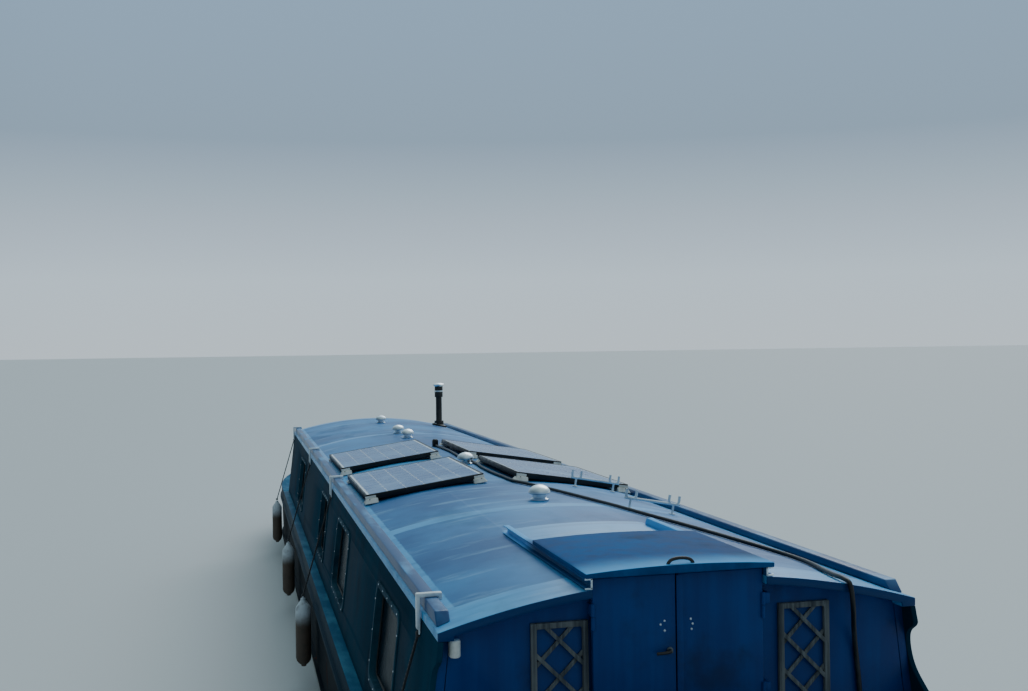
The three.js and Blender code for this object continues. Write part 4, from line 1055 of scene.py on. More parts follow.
def cabin_roof():
    top = [(x, roof_top(x)) for x in spread(-ROOF_HALF, ROOF_HALF, 64)]
    under = [(x, roof_under(x)) for x in spread(EAVE_INNER, -EAVE_INNER, 64)]
    starboard = [(ROOF_HALF, EAVE_Z), (EAVE_INNER, EAVE_Z)]
    outline = [*top, *starboard, *under, (-EAVE_INNER, EAVE_Z), (-ROOF_HALF, EAVE_Z)]
    slot = box(
        (DOORWAY_X - SLOT_HALF, ROOF_AFT - BEYOND, EDGE_Z - BEYOND),
        (DOORWAY_X + SLOT_HALF, ROOF_AFT + SLOT_LENGTH, CROWN_Z + BEYOND),
    )
    shape = softened(carved(slab(outline, "Y", ROOF_AFT, ROOF_FRONT), slot), 0.003)
    piece("cabin_roof_skin", shape, PAINT_ROOF, "cabin_roof", ["cabin_roof"])


def window_outline(node, margin, radius):
    """The window's opening grown by a margin, as an outline of y and z."""
    low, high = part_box(node)
    grown = GAP + margin
    return rounded_rectangle(low.y - grown, high.y + grown, low.z - grown, high.z + grown, radius)


def cabin_side(side, sign):
    node = f"cabin_side_{side}"
    openings = [
        slab(window_outline(f"window_{side}_{number}", 0, 0.045), "X", 0.5, 1.5) for number in WINDOW_NUMBERS
    ]
    edge = [(p.x, p.y) for p in smooth_line([(ROOF_AFT + y, EDGE_Z - drop, 0) for y, drop in WING], 5)]
    outline = [*edge, (FRONT_FACE, GUNWALE_Z), (FRONT_FACE, EAVE_Z)]
    panel = slab(outline, "X", SIDE_FOOT_HALF - SKIN, SIDE_FOOT_HALF)
    skin = softened(carved(panel, *[opening.copy() for opening in openings]), 0.002)
    piece(f"{node}_skin", leaned(skin, sign), PAINT_SIDE, node, [node])
    far = SIDE_FOOT_HALF - SKIN - GAP
    near = far - LINING_DEPTH
    board = box((near, REAR_FACE + LINING_SETBACK, GUNWALE_Z), (far, FRONT_FACE - LINING_SETBACK, EAVE_Z))
    piece(f"{node}_lining", leaned(carved(board, *openings), sign), LINING, node)
    width = LINING_SETBACK - GAP
    starts = (REAR_FACE, FRONT_FACE - width)
    posts = [box((near, start, GUNWALE_Z), (far, start + width, EAVE_Z)) for start in starts]
    piece(f"{node}_posts", leaned(together(*posts), sign), PAINT_NAVY, node)


def window_ring(node, outer, inner, low, high):
    """A flat ring round a window between two outlines, each given as margin and corner radius."""
    return ring(window_outline(node, *outer), window_outline(node, *inner), low, high)


def window(side, sign, number):
    node = f"window_{side}_{number}"
    wall = f"cabin_side_{side}"
    face = SIDE_FOOT_HALF
    proud = face + FRAME_PROUD
    back = face - 0.030
    rim = window_ring(node, (FRAME_WIDTH, 0.060), (-0.001, 0.044), face - 0.001, proud)
    reveal = window_ring(node, (-0.0005, 0.0445), (-0.004, 0.041), back, face)
    piece(f"{node}_frame", leaned(together(softened(rim, 0.002), reveal), sign), WINDOW_FRAME, wall)
    seal = window_ring(node, (-0.0042, 0.0408), (-0.013, 0.032), back, back + 0.007)
    piece(f"{node}_seal", leaned(softened(seal, 0.0015), sign), BLACK_PLASTIC, wall)
    pane = slab(window_outline(node, -0.0008, 0.0442), "X", back - 0.008, back - 0.0004)
    piece(f"{node}_pane", leaned(pane, sign), GLASS, node, [node])
    low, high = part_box(node)
    middle = FRAME_WIDTH / 2
    across = spread(low.y + 0.040, high.y - 0.040, 4)
    places = [(proud, y, z) for y in across for z in (low.z - middle, high.z + middle)]
    upright = spread(low.z + 0.060, high.z - 0.060, 2)
    places += [(proud, y, z) for y in (low.y - middle, high.y + middle) for z in upright]
    piece(f"{node}_screws", leaned(heads(places, (1, 0, 0)), sign), BRIGHT_STEEL, wall)


RAIL_AFT = ROOF_AFT + 0.062
RAIL_RAKE = 0.050


def handrail(side, sign):
    node = f"handrail_{side}"
    low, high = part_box("handrail_starboard")
    outer_foot = (high.x, roof_top(high.x) + GAP)
    inner_foot = (low.x, roof_top(low.x) + GAP)
    outline = [outer_foot, (high.x, high.z), (low.x, high.z), inner_foot]
    slope = RAIL_RAKE / (high.z + 0.001 - EDGE_Z)
    aft = [(x, RAIL_AFT + slope * (z - EDGE_Z), z) for x, z in outline]
    front = [(x, ROOF_FRONT - slope * (z - EDGE_Z), z) for x, z in outline]
    shape = softened(lofted([aft, front]), 0.006, 3)
    piece(f"{node}_bar", on_side(shape, sign), PAINT_RAIL, node, [node])


# Hatch and doors

HATCH_UNDERSIDE = EDGE_Z + 0.147
HATCH_EDGE = 0.017
HATCH_CROWN = 0.014
APRON_HALF = 0.314
APRON_DEPTH = 0.014
GRIP_HALF = 0.048


def hatch():
    half = (HATCH_HIGH.x - HATCH_LOW.x) / 2
    aft = HATCH_LOW.y
    front = HATCH_HIGH.y
    top = HATCH_UNDERSIDE + HATCH_EDGE
    crown = [(x, top + HATCH_CROWN * (1 - (x / half) ** 2)) for x in spread(half, -half, 32)]
    outline = [*crown, (-half, HATCH_UNDERSIDE), (half, HATCH_UNDERSIDE)]
    lid = softened(slab(outline, "Y", aft, front), 0.003, 3)
    apron_low = (-APRON_HALF, front - APRON_DEPTH, CROWN_Z + 0.006)
    apron = block(apron_low, (APRON_HALF, front, HATCH_UNDERSIDE + 0.002), 0.002)
    place = Matrix.Translation((DOORWAY_X, 0, 0))
    piece("hatch_lid", moved(together(lid, apron), place), PAINT_HATCH, "hatch", ["hatch"])
    y = aft + 0.016
    arch = [(-GRIP_HALF, 0.002), (-0.046, 0.015), (-0.036, 0.026), (-0.016, 0.032)]
    line = [(x, y, top + z) for x, z in both_sides(arch)]
    feet = [rod((x, y, top - 0.001), (x, y, top + 0.009), 0.012, 0.009) for x in (-GRIP_HALF, GRIP_HALF)]
    grip = together(tube(smooth_line(line, 6), 0.006, 5), *feet)
    piece("hatch_grip", moved(grip, place), BLACK_METAL, "hatch")


EDGING_PROUD = 0.0012
EDGING_DEPTH = 0.0035
EDGING_HALF = 0.0028


def hatch_runners():
    """The runners, each with a bright edging round its aft end."""
    for side, sign in SIDES:
        node = f"hatch_runner_{side}"
        softened_node(node, PAINT_RUNNER, 0.001)
        low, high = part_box(node)
        web, tip = (low.x, high.x) if sign > 0 else (high.x, low.x)
        aft = low.y - EDGING_PROUD
        front = low.y + EDGING_DEPTH
        start, end = sorted((web - sign * 0.0005, web + sign * 2 * EDGING_HALF))
        edging = [box((start, aft, low.z + 0.002), (end, front, high.z - 0.002))]
        start, end = sorted((web, tip + sign * 0.0004))
        for z in (low.z + 0.0025, high.z - EDGING_HALF):
            edging.append(box((start, aft, z - EDGING_HALF), (end, front, z + EDGING_HALF)))
        piece(f"{node}_end", together(*edging), BRIGHT_STEEL, node)


LEAF_SKIN = 0.024
LEAF_REBATE = 0.014


def door_leaf(node, face, way):
    """A steel leaf lined with timber; way is the direction it faces along Y."""
    low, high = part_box(node)
    back = face - way * LEAF_SKIN
    aft, front = sorted((face, back))
    skin = block((low.x, aft, low.z), (high.x, front, high.z), 0.003, 3)
    piece(f"{node}_skin", skin, PAINT_NAVY, node, [node])
    aft, front = sorted((low.y if way > 0 else high.y, back - way * GAP))
    rebate = LEAF_REBATE
    timber = block((low.x + rebate, aft, low.z + rebate), (high.x - rebate, front, high.z - rebate), 0.002)
    piece(f"{node}_timber", timber, LINING, node)


# Screws of the rear doors' stays. Columns: side, x, distance below the roof's edge.
DOOR_SCREWS = (
    ("port", -0.098, 0.033), ("port", -0.083, 0.021), ("port", -0.083, 0.055),
    ("starboard", 0.014, 0.021), ("starboard", 0.021, 0.038), ("starboard", 0.017, 0.056),
)
LOCK_X = -0.066
LOCK_Z = EDGE_Z - 0.124
LOCK_HEIGHT = 0.018
LOCK_RADIUS = 0.007
ROSE_HEIGHT = 0.004
ROSE_RADIUS = 0.012
SEAM_STRIP = (-0.0085, 0.016)
# How far a hinge's arm reaches from the leaf's edge. The trellis leaves little room to port.
HINGE_ARM = {"port": 0.0075, "starboard": 0.026}
HINGE_HALF = 0.045
HINGE_RADIUS = 0.0075
HINGE_PROUD = 0.002


def rear_hinges(side, sign, face):
    """Three lift-off hinges: each lower half turns with the leaf, each upper half stays on the bulkhead."""
    node = f"rear_door_{side}"
    low, high, middle = measures(node)
    x = high.x if sign > 0 else low.x
    y = face - HINGE_PROUD
    near, far = sorted((x + sign * 0.003, x + sign * HINGE_ARM[side]))
    for number, z in enumerate((low.z + 0.110, middle.z, high.z - 0.130)):
        lower, upper = [
            rod((x, y, z + way * 0.001), (x, y, z + way * HINGE_HALF), HINGE_RADIUS, sides=24)
            for way in (-1, 1)
        ]
        piece(f"{node}_knuckle_{number}", lower, PAINT_NAVY, node)
        arm = block((near, y - 0.001, z + 0.004), (far, REAR_FACE, z + 0.042), 0.001)
        piece(f"{node}_bracket_{number}", together(upper, arm), PAINT_NAVY, "rear_bulkhead")


def rear_doors():
    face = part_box("rear_door_port")[0].y
    for side, sign in SIDES:
        node = f"rear_door_{side}"
        door_leaf(node, face, -1)
        places = [(x, face, EDGE_Z - drop) for owner, x, drop in DOOR_SCREWS if owner == side]
        piece(f"{node}_screws", heads(places, (0, -1, 0), 0.0042, 0.002), BRIGHT_STEEL, node)
        rear_hinges(side, sign, face)
    low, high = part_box("rear_door_starboard")
    start, end = SEAM_STRIP
    strip_low = (low.x + start, face - 0.0031, low.z + 0.004)
    strip = block(strip_low, (low.x + end, face - GAP, high.z - 0.004), 0.001)
    piece("rear_door_rebate", strip, PAINT_NAVY, "rear_door_starboard")
    rose, barrel = [
        softened(rod((LOCK_X, face, LOCK_Z), (LOCK_X, face - reach, LOCK_Z), radius, sides=sides), 0.001)
        for reach, radius, sides in ((ROSE_HEIGHT, ROSE_RADIUS, 32), (LOCK_HEIGHT, LOCK_RADIUS, 28))
    ]
    piece("rear_door_lock", together(rose, barrel), DULL_ALUMINIUM, "rear_door_port")
    # A real lever handle, drawn dark and long to port of the lock where its shadow falls: partly painted
    # shadow.
    lever = [(LOCK_X, face - 0.016, LOCK_Z), (LOCK_X - 0.012, face - 0.022, LOCK_Z - 0.001)]
    lever += [(LOCK_X - 0.034, face - 0.022, LOCK_Z - 0.003), (LOCK_X - 0.054, face - 0.020, LOCK_Z - 0.004)]
    piece("rear_door_lever", tube(smooth_line(lever, 6), 0.0055, 5), BLACK_METAL, "rear_door_port")


FIELD_BORDER = 0.050
FIELD_FOOT = 0.080
FIELD_PROUD = 0.008


def front_doors():
    """Leaves with a raised field and a knob."""
    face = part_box("front_door_port")[1].y
    knob = [(0, 0), (0.010, 0), (0.010, 0.004), (0.005, 0.008), (0.011, 0.020), (0.007, 0.028), (0, 0.030)]
    for side, sign in SIDES:
        node = f"front_door_{side}"
        door_leaf(node, face, 1)
        low, high, middle = measures(node)
        field_low = (low.x + FIELD_BORDER, face, low.z + FIELD_FOOT)
        field_high = (high.x - FIELD_BORDER, face + FIELD_PROUD, high.z - FIELD_FOOT)
        piece(f"{node}_panel", block(field_low, field_high, 0.006, 3), PAINT_NAVY, node)
        place = Matrix.Translation((sign * 0.036, face, middle.z)) @ Matrix.Rotation(-math.pi / 2, 4, "X")
        piece(f"{node}_knob", moved(turned(knob), place), BRIGHT_STEEL, node)


# Fittings on the roof

# Panels with cells under glass.
# Columns: name, side of the roof, inner edge, aft edge from the roof's aft end.
PANELS = (
    ("solar_panel_port_aft", -1, 0.086, 2.900),
    ("solar_panel_port_fwd", -1, 0.086, 4.440),
    ("solar_panel_starboard_aft", 1, 0.104, 2.905),
    ("solar_panel_starboard_fwd", 1, 0.104, 4.361),
)
PANEL_WIDTH = 0.710
PANEL_LENGTH = 1.085
PANEL_DEPTH = 0.033
PANEL_STANDOFF = 0.026
FOOT_REACH = 0.068
FRAME_LIP = 0.012
TRAY_DEPTH = 0.003
SHEET_DEPTH = 0.0008
CELL_DEPTH = 0.0006
CELL_COLUMNS = 6
CELL_ROWS = 9
CELL_SEAM = 0.003
CELL_CLIP = 0.010
CELL_MARGIN = FRAME_LIP + 0.012


def panel_drop(inner):
    """How far the roof falls across a panel's width."""
    return roof_top(inner) - roof_top(inner + PANEL_WIDTH)


def panel_place(sign, inner, start):
    """Where a solar panel lies: at its inner aft corner on the roof, tilted with the slope."""
    tilt = math.atan2(panel_drop(inner), PANEL_WIDTH)
    corner = Matrix.Translation((sign * inner, ROOF_AFT + start, roof_top(inner)))
    place = corner @ Matrix.Rotation(sign * tilt, 4, "Y")
    return place @ Matrix.Translation((-PANEL_WIDTH if sign < 0 else 0, 0, 0))


def clipped_square(x0, x1, y0, y1, clip):
    """A cell's outline, with its corners clipped."""
    return [
        (x0 + clip, y0), (x1 - clip, y0), (x1, y0 + clip), (x1, y1 - clip),
        (x1 - clip, y1), (x0 + clip, y1), (x0, y1 - clip), (x0, y0 + clip),
    ]


def panel_inset(margin, low, high):
    """A block over a panel's whole face but a margin."""
    return box((margin, margin, low), (PANEL_WIDTH - margin, PANEL_LENGTH - margin, high))


def solar_panel(name, sign, inner, start):
    place = panel_place(sign, inner, start)
    chord = math.hypot(PANEL_WIDTH, panel_drop(inner))
    across = PANEL_WIDTH - FOOT_REACH
    foot = across * (chord - across) / (2 * ROOF_RADIUS) + 2 * GAP
    high = PANEL_STANDOFF + PANEL_DEPTH
    floor = high - TRAY_DEPTH
    face = floor + SHEET_DEPTH
    tray = carved(panel_inset(0, PANEL_STANDOFF, high), panel_inset(FRAME_LIP, floor, high + BEYOND))
    piece(f"{name}_frame", moved(softened(tray, 0.0012), place), BLACK_FRAME, name, [name])
    piece(f"{name}_sheet", moved(panel_inset(FRAME_LIP + GAP, floor, face), place), BACK_SHEET, name)
    columns = spread(CELL_MARGIN, PANEL_WIDTH - CELL_MARGIN, CELL_COLUMNS)
    rows = spread(CELL_MARGIN, PANEL_LENGTH - CELL_MARGIN, CELL_ROWS)
    seam = CELL_SEAM / 2
    cells = []
    for x0, x1 in zip(columns, columns[1:]):
        for y0, y1 in zip(rows, rows[1:]):
            outline = clipped_square(x0 + seam, x1 - seam, y0 + seam, y1 - seam, CELL_CLIP)
            cells.append(slab(outline, "Z", face, face + CELL_DEPTH))
    piece(f"{name}_cells", moved(together(*cells), place), CELLS, name)
    brackets = []
    bolts = []
    for x_way, x in ((-1, 0.0), (1, PANEL_WIDTH)):
        for y_way, y in ((-1, 0.0), (1, PANEL_LENGTH)):
            brackets.append(corner_bracket(x, y, x_way, y_way, foot, high))
            bolts.append((x - x_way * 0.020, y + y_way * 0.0165, PANEL_STANDOFF + 0.004))
    piece(f"{name}_brackets", moved(together(*brackets), place), CREAM, name)
    piece(f"{name}_bolts", moved(heads(bolts, UP, 0.007, 0.004), place), BLACK_METAL, name)


def corner_bracket(x, y, x_way, y_way, foot, high):
    """A moulded mount that flares down from a panel's corner to the roof."""
    x_out = x + x_way * 0.012
    x_in = x - x_way * FOOT_REACH
    y_out = y + y_way * 0.034
    y_in = y - y_way * 0.046
    levels = ((foot, 0), (foot + 0.004, 0), (PANEL_STANDOFF - 0.002, 0.010), (PANEL_STANDOFF + 0.008, 0.014))
    rings = []
    for z, narrow in levels:
        a = x_out - x_way * narrow
        b = y_out - y_way * narrow
        rings.append([(x_in, y_in, z), (a, y_in, z), (a, b, z), (x_in, b, z)])
    x_low, x_high = sorted((x + x_way * 0.002, x - x_way * 0.060))
    y_low, y_high = sorted((y + y_way * 0.0008, y + y_way * 0.0045))
    ear = block((x_low, y_low, PANEL_STANDOFF - 0.004), (x_high, y_high, high - 0.008), 0.001)
    return together(softened(lofted(rings), 0.003), ear)


def round_places(radius, z, turns):
    """Places at turns round the Z axis."""
    return [(radius * math.cos(t), radius * math.sin(t), z) for t in turns]


LATHE_STEPS = 56


def mushroom_vents():
    stem = [
        (0, 0), (0.048, 0), (0.048, 0.004), (0.040, 0.008), (0.036, 0.013), (0.036, 0.031), (0.052, 0.031),
    ]
    dome = [(0.058 * math.cos(t), 0.037 + 0.042 * math.sin(t)) for t in spread(0, math.pi / 2 - 0.12, 14)]
    screws = round_places(0.043, 0.006, (0.5, 2.6, 4.7))
    for number in range(1, 6):
        node = f"mushroom_vent_{number}"
        low, _, middle = measures(node)
        place = Matrix.Translation((middle.x, middle.y, low.z))
        shape = turned([*stem, *dome, (0.006, 0.079), (0, 0.080)], LATHE_STEPS)
        piece(f"{node}_cap", moved(shape, place), BRIGHT_STEEL, node, [node])
        piece(f"{node}_screws", moved(heads(screws, UP, 0.0028), place), BRIGHT_STEEL, node)


CHIMNEY_X = 0.700


def chimney():
    place = Matrix.Translation((CHIMNEY_X, measures("chimney")[2].y, roof_top(CHIMNEY_X)))
    tilted = place @ Matrix.Rotation(math.asin(CHIMNEY_X / ROOF_RADIUS), 4, "Y")
    flange = [(0, 0.0004), (0.082, 0.0004), (0.082, 0.014), (0.079, 0.017), (0.054, 0.026), (0, 0.026)]
    collar = moved(turned(flange, LATHE_STEPS), tilted)
    flue = [
        (0, 0.010), (0.052, 0.010), (0.052, 0.060), (0.036, 0.063), (0.034, 0.066),
        (0.034, 0.325), (0.043, 0.328), (0.046, 0.331), (0.046, 0.448), (0, 0.448),
    ]
    flue = moved(turned(flue, LATHE_STEPS), place)
    piece("chimney_flue", together(collar, flue), BLACK_METAL, "chimney", ["chimney"])
    band = [(0, 0.388), (0.050, 0.388), (0.050, 0.402), (0, 0.402)]
    hat = [
        (0, 0.4482), (0.048, 0.449), (0.061, 0.460), (0.062, 0.463), (0.062, 0.472),
        (0.059, 0.475), (0.030, 0.484), (0.008, 0.487), (0, 0.487),
    ]
    brights = [moved(turned(profile, LATHE_STEPS), place) for profile in (band, hat)]
    piece("chimney_brights", together(*brights), BRIGHT_STEEL, "chimney")
    bolts = heads(round_places(0.070, 0.020, (0.8, 2.4, 3.9, 5.5)), UP, 0.006, 0.005)
    piece("chimney_bolts", moved(bolts, tilted), BRIGHT_STEEL, "chimney")


RACK_INNER = 0.395
RACK_OUTER = 0.700
RACK_HEIGHT = 0.062
RACK_ROD = 0.007
RACK_FORK = 0.034
RACK_PRONG = 0.038
RACK_FOOT_HALF = 0.014


def pole_rack(node):
    half = (RACK_OUTER - RACK_INNER) / 2
    slope = math.atan2(roof_top(RACK_INNER) - roof_top(RACK_OUTER), RACK_OUTER - RACK_INNER)
    height = (roof_top(RACK_INNER) + roof_top(RACK_OUTER)) / 2
    middle = Matrix.Translation(((RACK_INNER + RACK_OUTER) / 2, measures(node)[2].y, height))
    place = middle @ Matrix.Rotation(slope, 4, "Y")
    level = RACK_HEIGHT - RACK_ROD
    toe = RACK_FORK + RACK_FOOT_HALF
    foot = toe * (2 * half - toe) / (2 * ROOF_RADIUS) + GAP
    parts = [softened(rod((-half, 0, level), (half, 0, level), RACK_ROD, sides=24), 0.0015)]
    feet = []
    screws = []
    for end in (-1, 1):
        x = end * (half - RACK_FORK)
        parts.append(rod((x, 0, foot), (x, 0, level), 0.006, sides=24))
        reach = RACK_FORK - RACK_ROD
        tip = RACK_HEIGHT + RACK_PRONG
        prong = x - reach
        fork = [(prong, tip), (prong, level + 0.014), (prong + 0.006, level + 0.004), (x - 0.012, level)]
        line = smooth_line([(a, 0, b) for a, b in both_sides(fork, x)], 5)
        parts.append(tube(line, RACK_ROD, 4))
        foot_high = (x + RACK_FOOT_HALF, 0.016, foot + 0.004)
        feet.append(block((x - RACK_FOOT_HALF, -0.016, foot), foot_high, 0.001))
        screws += [(x + way * 0.009, 0, foot + 0.004) for way in (-1, 1)]
    piece(f"{node}_bars", moved(together(*parts, *feet), place), WHITE_COATING, node, [node])
    piece(f"{node}_screws", moved(heads(screws, UP, 0.003), place), BRIGHT_STEEL, node)


def cable_fittings():
    softened_node("cable_entry", BLACK_PLASTIC, 0.004, 3)
    softened_node("cable_gland", BLACK_PLASTIC, 0.002)


# On the rear bulkhead

LATH_PITCH = 0.128
LATH_WIDTH = 0.014
LATH_DEPTH = 0.008
LATH_END = 0.006
SLAT = 0.020


def trellis(node):
    """A timber frame with two crossing layers of slanted laths, cut to the frame."""
    low, high, middle = measures(node)
    inner_low = low.x + SLAT
    inner_high = high.x - SLAT
    slats = [
        block((low.x, low.y, low.z), (inner_low, high.y, high.z), 0.002),
        block((inner_high, low.y, low.z), (high.x, high.y, high.z), 0.002),
        block((inner_low, low.y, low.z), (inner_high, high.y, low.z + SLAT), 0.002),
        block((inner_low, low.y, high.z - SLAT), (inner_high, high.y, high.z), 0.002),
    ]
    piece(f"{node}_frame", together(*slats), TIMBER, node, [node])
    half_x = (high.x - low.x) / 2 - LATH_END
    half_z = (high.z - low.z) / 2 - LATH_END
    laths = []
    for way, y in ((-1, low.y + 0.005), (1, low.y + 0.0125)):
        for step in range(-3, 4):
            offset = step * LATH_PITCH
            span = sorted(((-half_z - offset) * way, (half_z - offset) * way))
            start = max(-half_x, span[0])
            end = min(half_x, span[1])
            if end - start < LATH_WIDTH:
                continue
            centre = (start + end) / 2
            corner = Vector((LATH_WIDTH, LATH_DEPTH, (end - start) * math.sqrt(2))) / 2
            place = Matrix.Translation((middle.x + centre, y, middle.z + offset + way * centre))
            slant = place @ Matrix.Rotation(way * math.pi / 4, 4, "Y")
            laths.append(moved(block(-corner, corner, 0.0012), slant))
    piece(f"{node}_laths", together(*laths), TIMBER, node)


def lamp():
    node = "bulkhead_lamp"
    low, high, middle = measures(node)
    radius = (high.x - low.x) / 2
    turns = spread(0, math.pi, 24)
    nose = [(middle.x + radius * math.cos(t), low.y + radius - radius * math.sin(t)) for t in turns]
    outline = [(high.x, high.y), *nose, (low.x, high.y)]
    piece("lamp_cover", softened(slab(outline, "Z", low.z, high.z), 0.006, 4), CREAM, node, [node])


# Fenders and their hooks

FENDER_NUMBERS = (1, 2, 3, 4)
FENDER_LENGTH = 0.460
FENDER_RADIUS = 0.052
FENDER_X = -(HULL_HALF_TOP + STRAKE_DEPTH + FENDER_RADIUS + 0.006)
FENDER_TOP = GUNWALE_Z - 0.090
HOOK_STRIP = 0.015
HOOK_HALF_WIDTH = 0.013
HOOK_X = -(SIDE_FOOT_HALF - SIDE_LEAN * (EDGE_Z - GUNWALE_Z)) - 0.009
HOOK_FOOT = EDGE_Z - 0.062


def knot(half, radius, place):
    """A knot in a rope, as a small spindle with so high a half and so wide a girth."""
    flank = radius - 0.002
    profile = [(0, -0.014), (flank, -half), (radius, 0), (flank, half), (0, 0.014)]
    return moved(turned(profile, 20), Matrix.Translation(place))


def fender(number):
    node = f"fender_{number}"
    y = measures(node)[2].y
    rail_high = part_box("handrail_port")[1]
    under = rail_high.z + GAP
    inner = rail_high.x + GAP
    tip = rail_high.z - 0.014
    crest = under + HOOK_STRIP
    far_inner = inner + HOOK_STRIP
    far_outer = HOOK_X - HOOK_STRIP
    outline = [
        (inner, tip), (far_inner, tip), (far_inner, crest), (far_outer, crest),
        (far_outer, HOOK_FOOT), (HOOK_X, HOOK_FOOT), (HOOK_X, under), (inner, under),
    ]
    hook = slab(outline, "Y", y - HOOK_HALF_WIDTH, y + HOOK_HALF_WIDTH)
    eye_place = Vector((HOOK_X - 0.0045, y, HOOK_FOOT - 0.008))
    eye = hoop(eye_place, (0, 0.012, 0), (0, 0, 0.012), 0.0035)
    piece(f"{node}_hook", together(softened(hook, 0.004, 3), eye), WHITE_COATING, node, [node])
    start = eye_place + Vector((-0.003, 0, -0.010))
    end = Vector((FENDER_X, y, FENDER_TOP + 0.016))
    knots = [knot(0.009, 0.010, start), knot(0.008, 0.012, end + Vector((0, 0, 0.002)))]
    rope = tube([start.lerp(end, step) for step in spread(0, 1, 8)], 0.005, 4)
    piece(f"{node}_rope", together(rope, *knots), ROPE, node)
    foot = [(0, 0), (0.016, 0), (0.018, 0.010), (0.030, 0.018), (0.046, 0.036), (FENDER_RADIUS, 0.060)]
    head = [(FENDER_RADIUS, -0.072), (0.048, -0.058), (0.028, -0.026), (0.018, -0.014), (0.016, 0), (0, 0)]
    profile = [*[(radius, z - FENDER_LENGTH) for radius, z in foot], *head]
    body = moved(turned(profile, 40), Matrix.Translation((FENDER_X, y, FENDER_TOP)))
    loop = hoop((FENDER_X, y, FENDER_TOP + 0.008), (0, 0.011, 0), (0, 0, 0.011), 0.004)
    piece(f"{node}_body", together(body, loop), FENDER_SKIN, node)


# Stern


LID_RING_RADIUS = 0.022
LID_RING_INSET = 0.075
LID_PIN_HALF = 0.040
LID_PIN_INSET = 0.080


def stern_deck():
    """The deck and its lid, which has two lifting rings and two hinge pins."""
    softened_node("stern_deck", PAINT_GUNWALE, 0.0015)
    node = "engine_hatch_lid"
    softened_node(node, PAINT_GUNWALE, 0.003)
    low, high, middle = measures(node)
    y = middle.y
    radius = LID_RING_RADIUS
    for number, x in enumerate((low.x + LID_RING_INSET, high.x - LID_RING_INSET)):
        loop = hoop((x, y, high.z + 0.004), (radius, 0, 0), (0, radius, 0), 0.0035, 28)
        plate = softened(rod((x, y, high.z - 0.001), (x, y, high.z + 0.0015), 0.034, sides=32), 0.0006)
        piece(f"engine_lid_ring_{number}", together(loop, plate), BRIGHT_STEEL, node)
    for number, y in enumerate((low.y + LID_PIN_INSET, high.y - LID_PIN_INSET)):
        pin = rod((low.x, y - LID_PIN_HALF, high.z), (low.x, y + LID_PIN_HALF, high.z), 0.005)
        piece(f"engine_lid_hinge_{number}", pin, BRIGHT_STEEL, node)


def stern_rail():
    shape = softened(frame_shape("stern_rail"), 0.0008, 1)
    piece("stern_rail_bars", shape, BLACK_METAL, "stern_rail", ["stern_rail"], 50)


def steering():
    softened_node("rudder", PAINT_HULL, 0.003)
    piece("tiller_neck_bar", frame_shape("tiller_neck"), BRIGHT_STEEL, "tiller_neck", ["tiller_neck"], 60)
    propeller = softened(frame_shape("propeller"), 0.001)
    piece("propeller_cast", propeller, BRONZE, "propeller", ["propeller"], 50)


# Bow


def bow_fittings():
    softened_node("gas_locker_lid", PAINT_GUNWALE, 0.003)
    node = "bow_fender"
    low, high, middle = measures(node)
    radius = (high.y - low.y) / 2 - 0.004
    half = (high.z - low.z) / 2
    profile = [(0, -half)]
    for t in spread(-math.pi / 2, math.pi / 2, 110)[1:-1]:
        swell = 0.0035 * abs(math.sin(t * 22))
        profile.append((radius * math.cos(t) ** 0.55 + swell * math.cos(t), half * math.sin(t)))
    profile.append((0, half))
    place = Matrix.Translation((0, middle.y, middle.z))
    piece("bow_fender_rope", moved(turned(profile, LATHE_STEPS), place), FENDER_ROPE, node, [node], 60)


# The object, piece by piece

stern_shell()
hull_sides()
bow_shell()
bow_stud()
finish_node("base_plate", PAINT_HULL)
finish_node("cabin_floor", FLOOR_BOARDS)
cabin_roof()
for side, sign in SIDES:
    cabin_side(side, sign)
    handrail(side, sign)
    for number in WINDOW_NUMBERS:
        window(side, sign, number)
softened_node("rear_bulkhead", PAINT_NAVY, 0.002)
softened_node("front_bulkhead", PAINT_NAVY, 0.002)
hatch()
hatch_runners()
rear_doors()
front_doors()
for name, sign, inner, start in PANELS:
    solar_panel(name, sign, inner, start)
mushroom_vents()
chimney()
pole_rack("pole_rack_aft")
pole_rack("pole_rack_fwd")
cable_fittings()
trellis("trellis_port")
trellis("trellis_starboard")
lamp()
for number in FENDER_NUMBERS:
    fender(number)
stern_deck()
stern_rail()
steering()
softened_node("engine_block", ENGINE_GREEN, 0.012, 3)
bow_fittings()


# Studio

FLOOR_REACH = 400
FLOOR_INSET = 0.010
FLOOR_COLOUR = screen(198, 204, 206)
LIGHT_DIRECTION = Vector((-0.45, -0.62, -0.70))
LIGHT_COLOUR = (0.95, 0.97, 1.0)
LIGHT_STRENGTH = 1.3
LIGHT_ANGLE = math.radians(40)
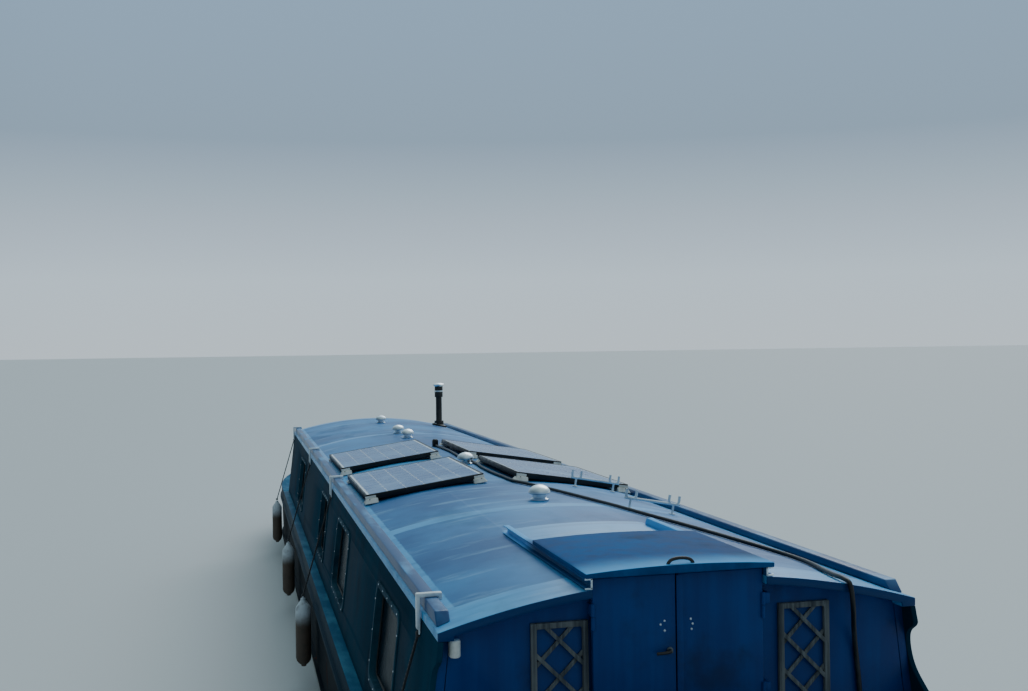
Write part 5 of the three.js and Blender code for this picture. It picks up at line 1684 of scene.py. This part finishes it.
# The sky's tones from the horizon up. Columns: sine of the height, red, green, blue.
SKY = (
    (0.00, 0.64, 0.74, 0.82),
    (0.06, 0.62, 0.75, 0.86),
    (0.18, 0.30, 0.42, 0.55),
    (0.34, 0.30, 0.46, 0.64),
    (0.62, 0.74, 0.94, 1.00),
)
# How the sky dims. Columns: axis, where it is dimmest, where it is brightest, its strength where dimmest.
SKY_DIMMING = (("Y", -0.4, 0.8, 0.52), ("X", -0.9, -0.1, 0.34))


def studio_floor():
    """A wide floor at the waterline, open inside the hull's skin."""
    level = (WATERLINE_Z - BASE_TOP) / (GUNWALE_Z - BASE_TOP)
    outline = stern_outline(HULL_HALF_TOP - hull_half(WATERLINE_Z) + FLOOR_INSET, REAR_FACE)
    port = [(-(base + (top - base) * level) + FLOOR_INSET, y) for y, top, base, z in BOW_STATIONS]
    hole = slab([*outline, *both_sides(port)], "Z", WATERLINE_Z - 1, WATERLINE_Z + 1)
    reach = FLOOR_REACH
    ground = carved(box((-reach, -reach, WATERLINE_Z - 0.02), (reach, reach, WATERLINE_Z)), hole)
    mesh = mesh_of(ground, "studio_floor")
    mesh.materials.append(Finish("studio floor").done(FLOOR_COLOUR, 0.7))
    placed("studio_floor", mesh)


def high_light():
    """A soft distant light from ahead and starboard."""
    data = bpy.data.lights.new("high light", "SUN")
    data.energy = LIGHT_STRENGTH
    data.angle = LIGHT_ANGLE
    data.color = LIGHT_COLOUR
    placed("high light", data).rotation_euler = LIGHT_DIRECTION.to_track_quat("-Z", "Y").to_euler()


def sky():
    """A soft sky, bright ahead and dim astern and to port."""
    world = bpy.data.worlds.new("studio")
    world.use_nodes = True
    sheet = Sheet(world.node_tree, "Generated")
    tones = sheet.node("ValToRGB", {"stops": SKY}, {0: sheet.along("Z")})
    ahead, beside = [
        sheet.step(sheet.along(axis), dim, bright) * (1 - least) + least
        for axis, dim, bright, least in SKY_DIMMING
    ]
    shader = sheet.node("Background", {}, {"Color": tones, "Strength": ahead * beside})
    sheet.node("OutputWorld", {}, {"Surface": shader}, None)
    bpy.context.scene.world = world


studio_floor()
sky()
high_light()
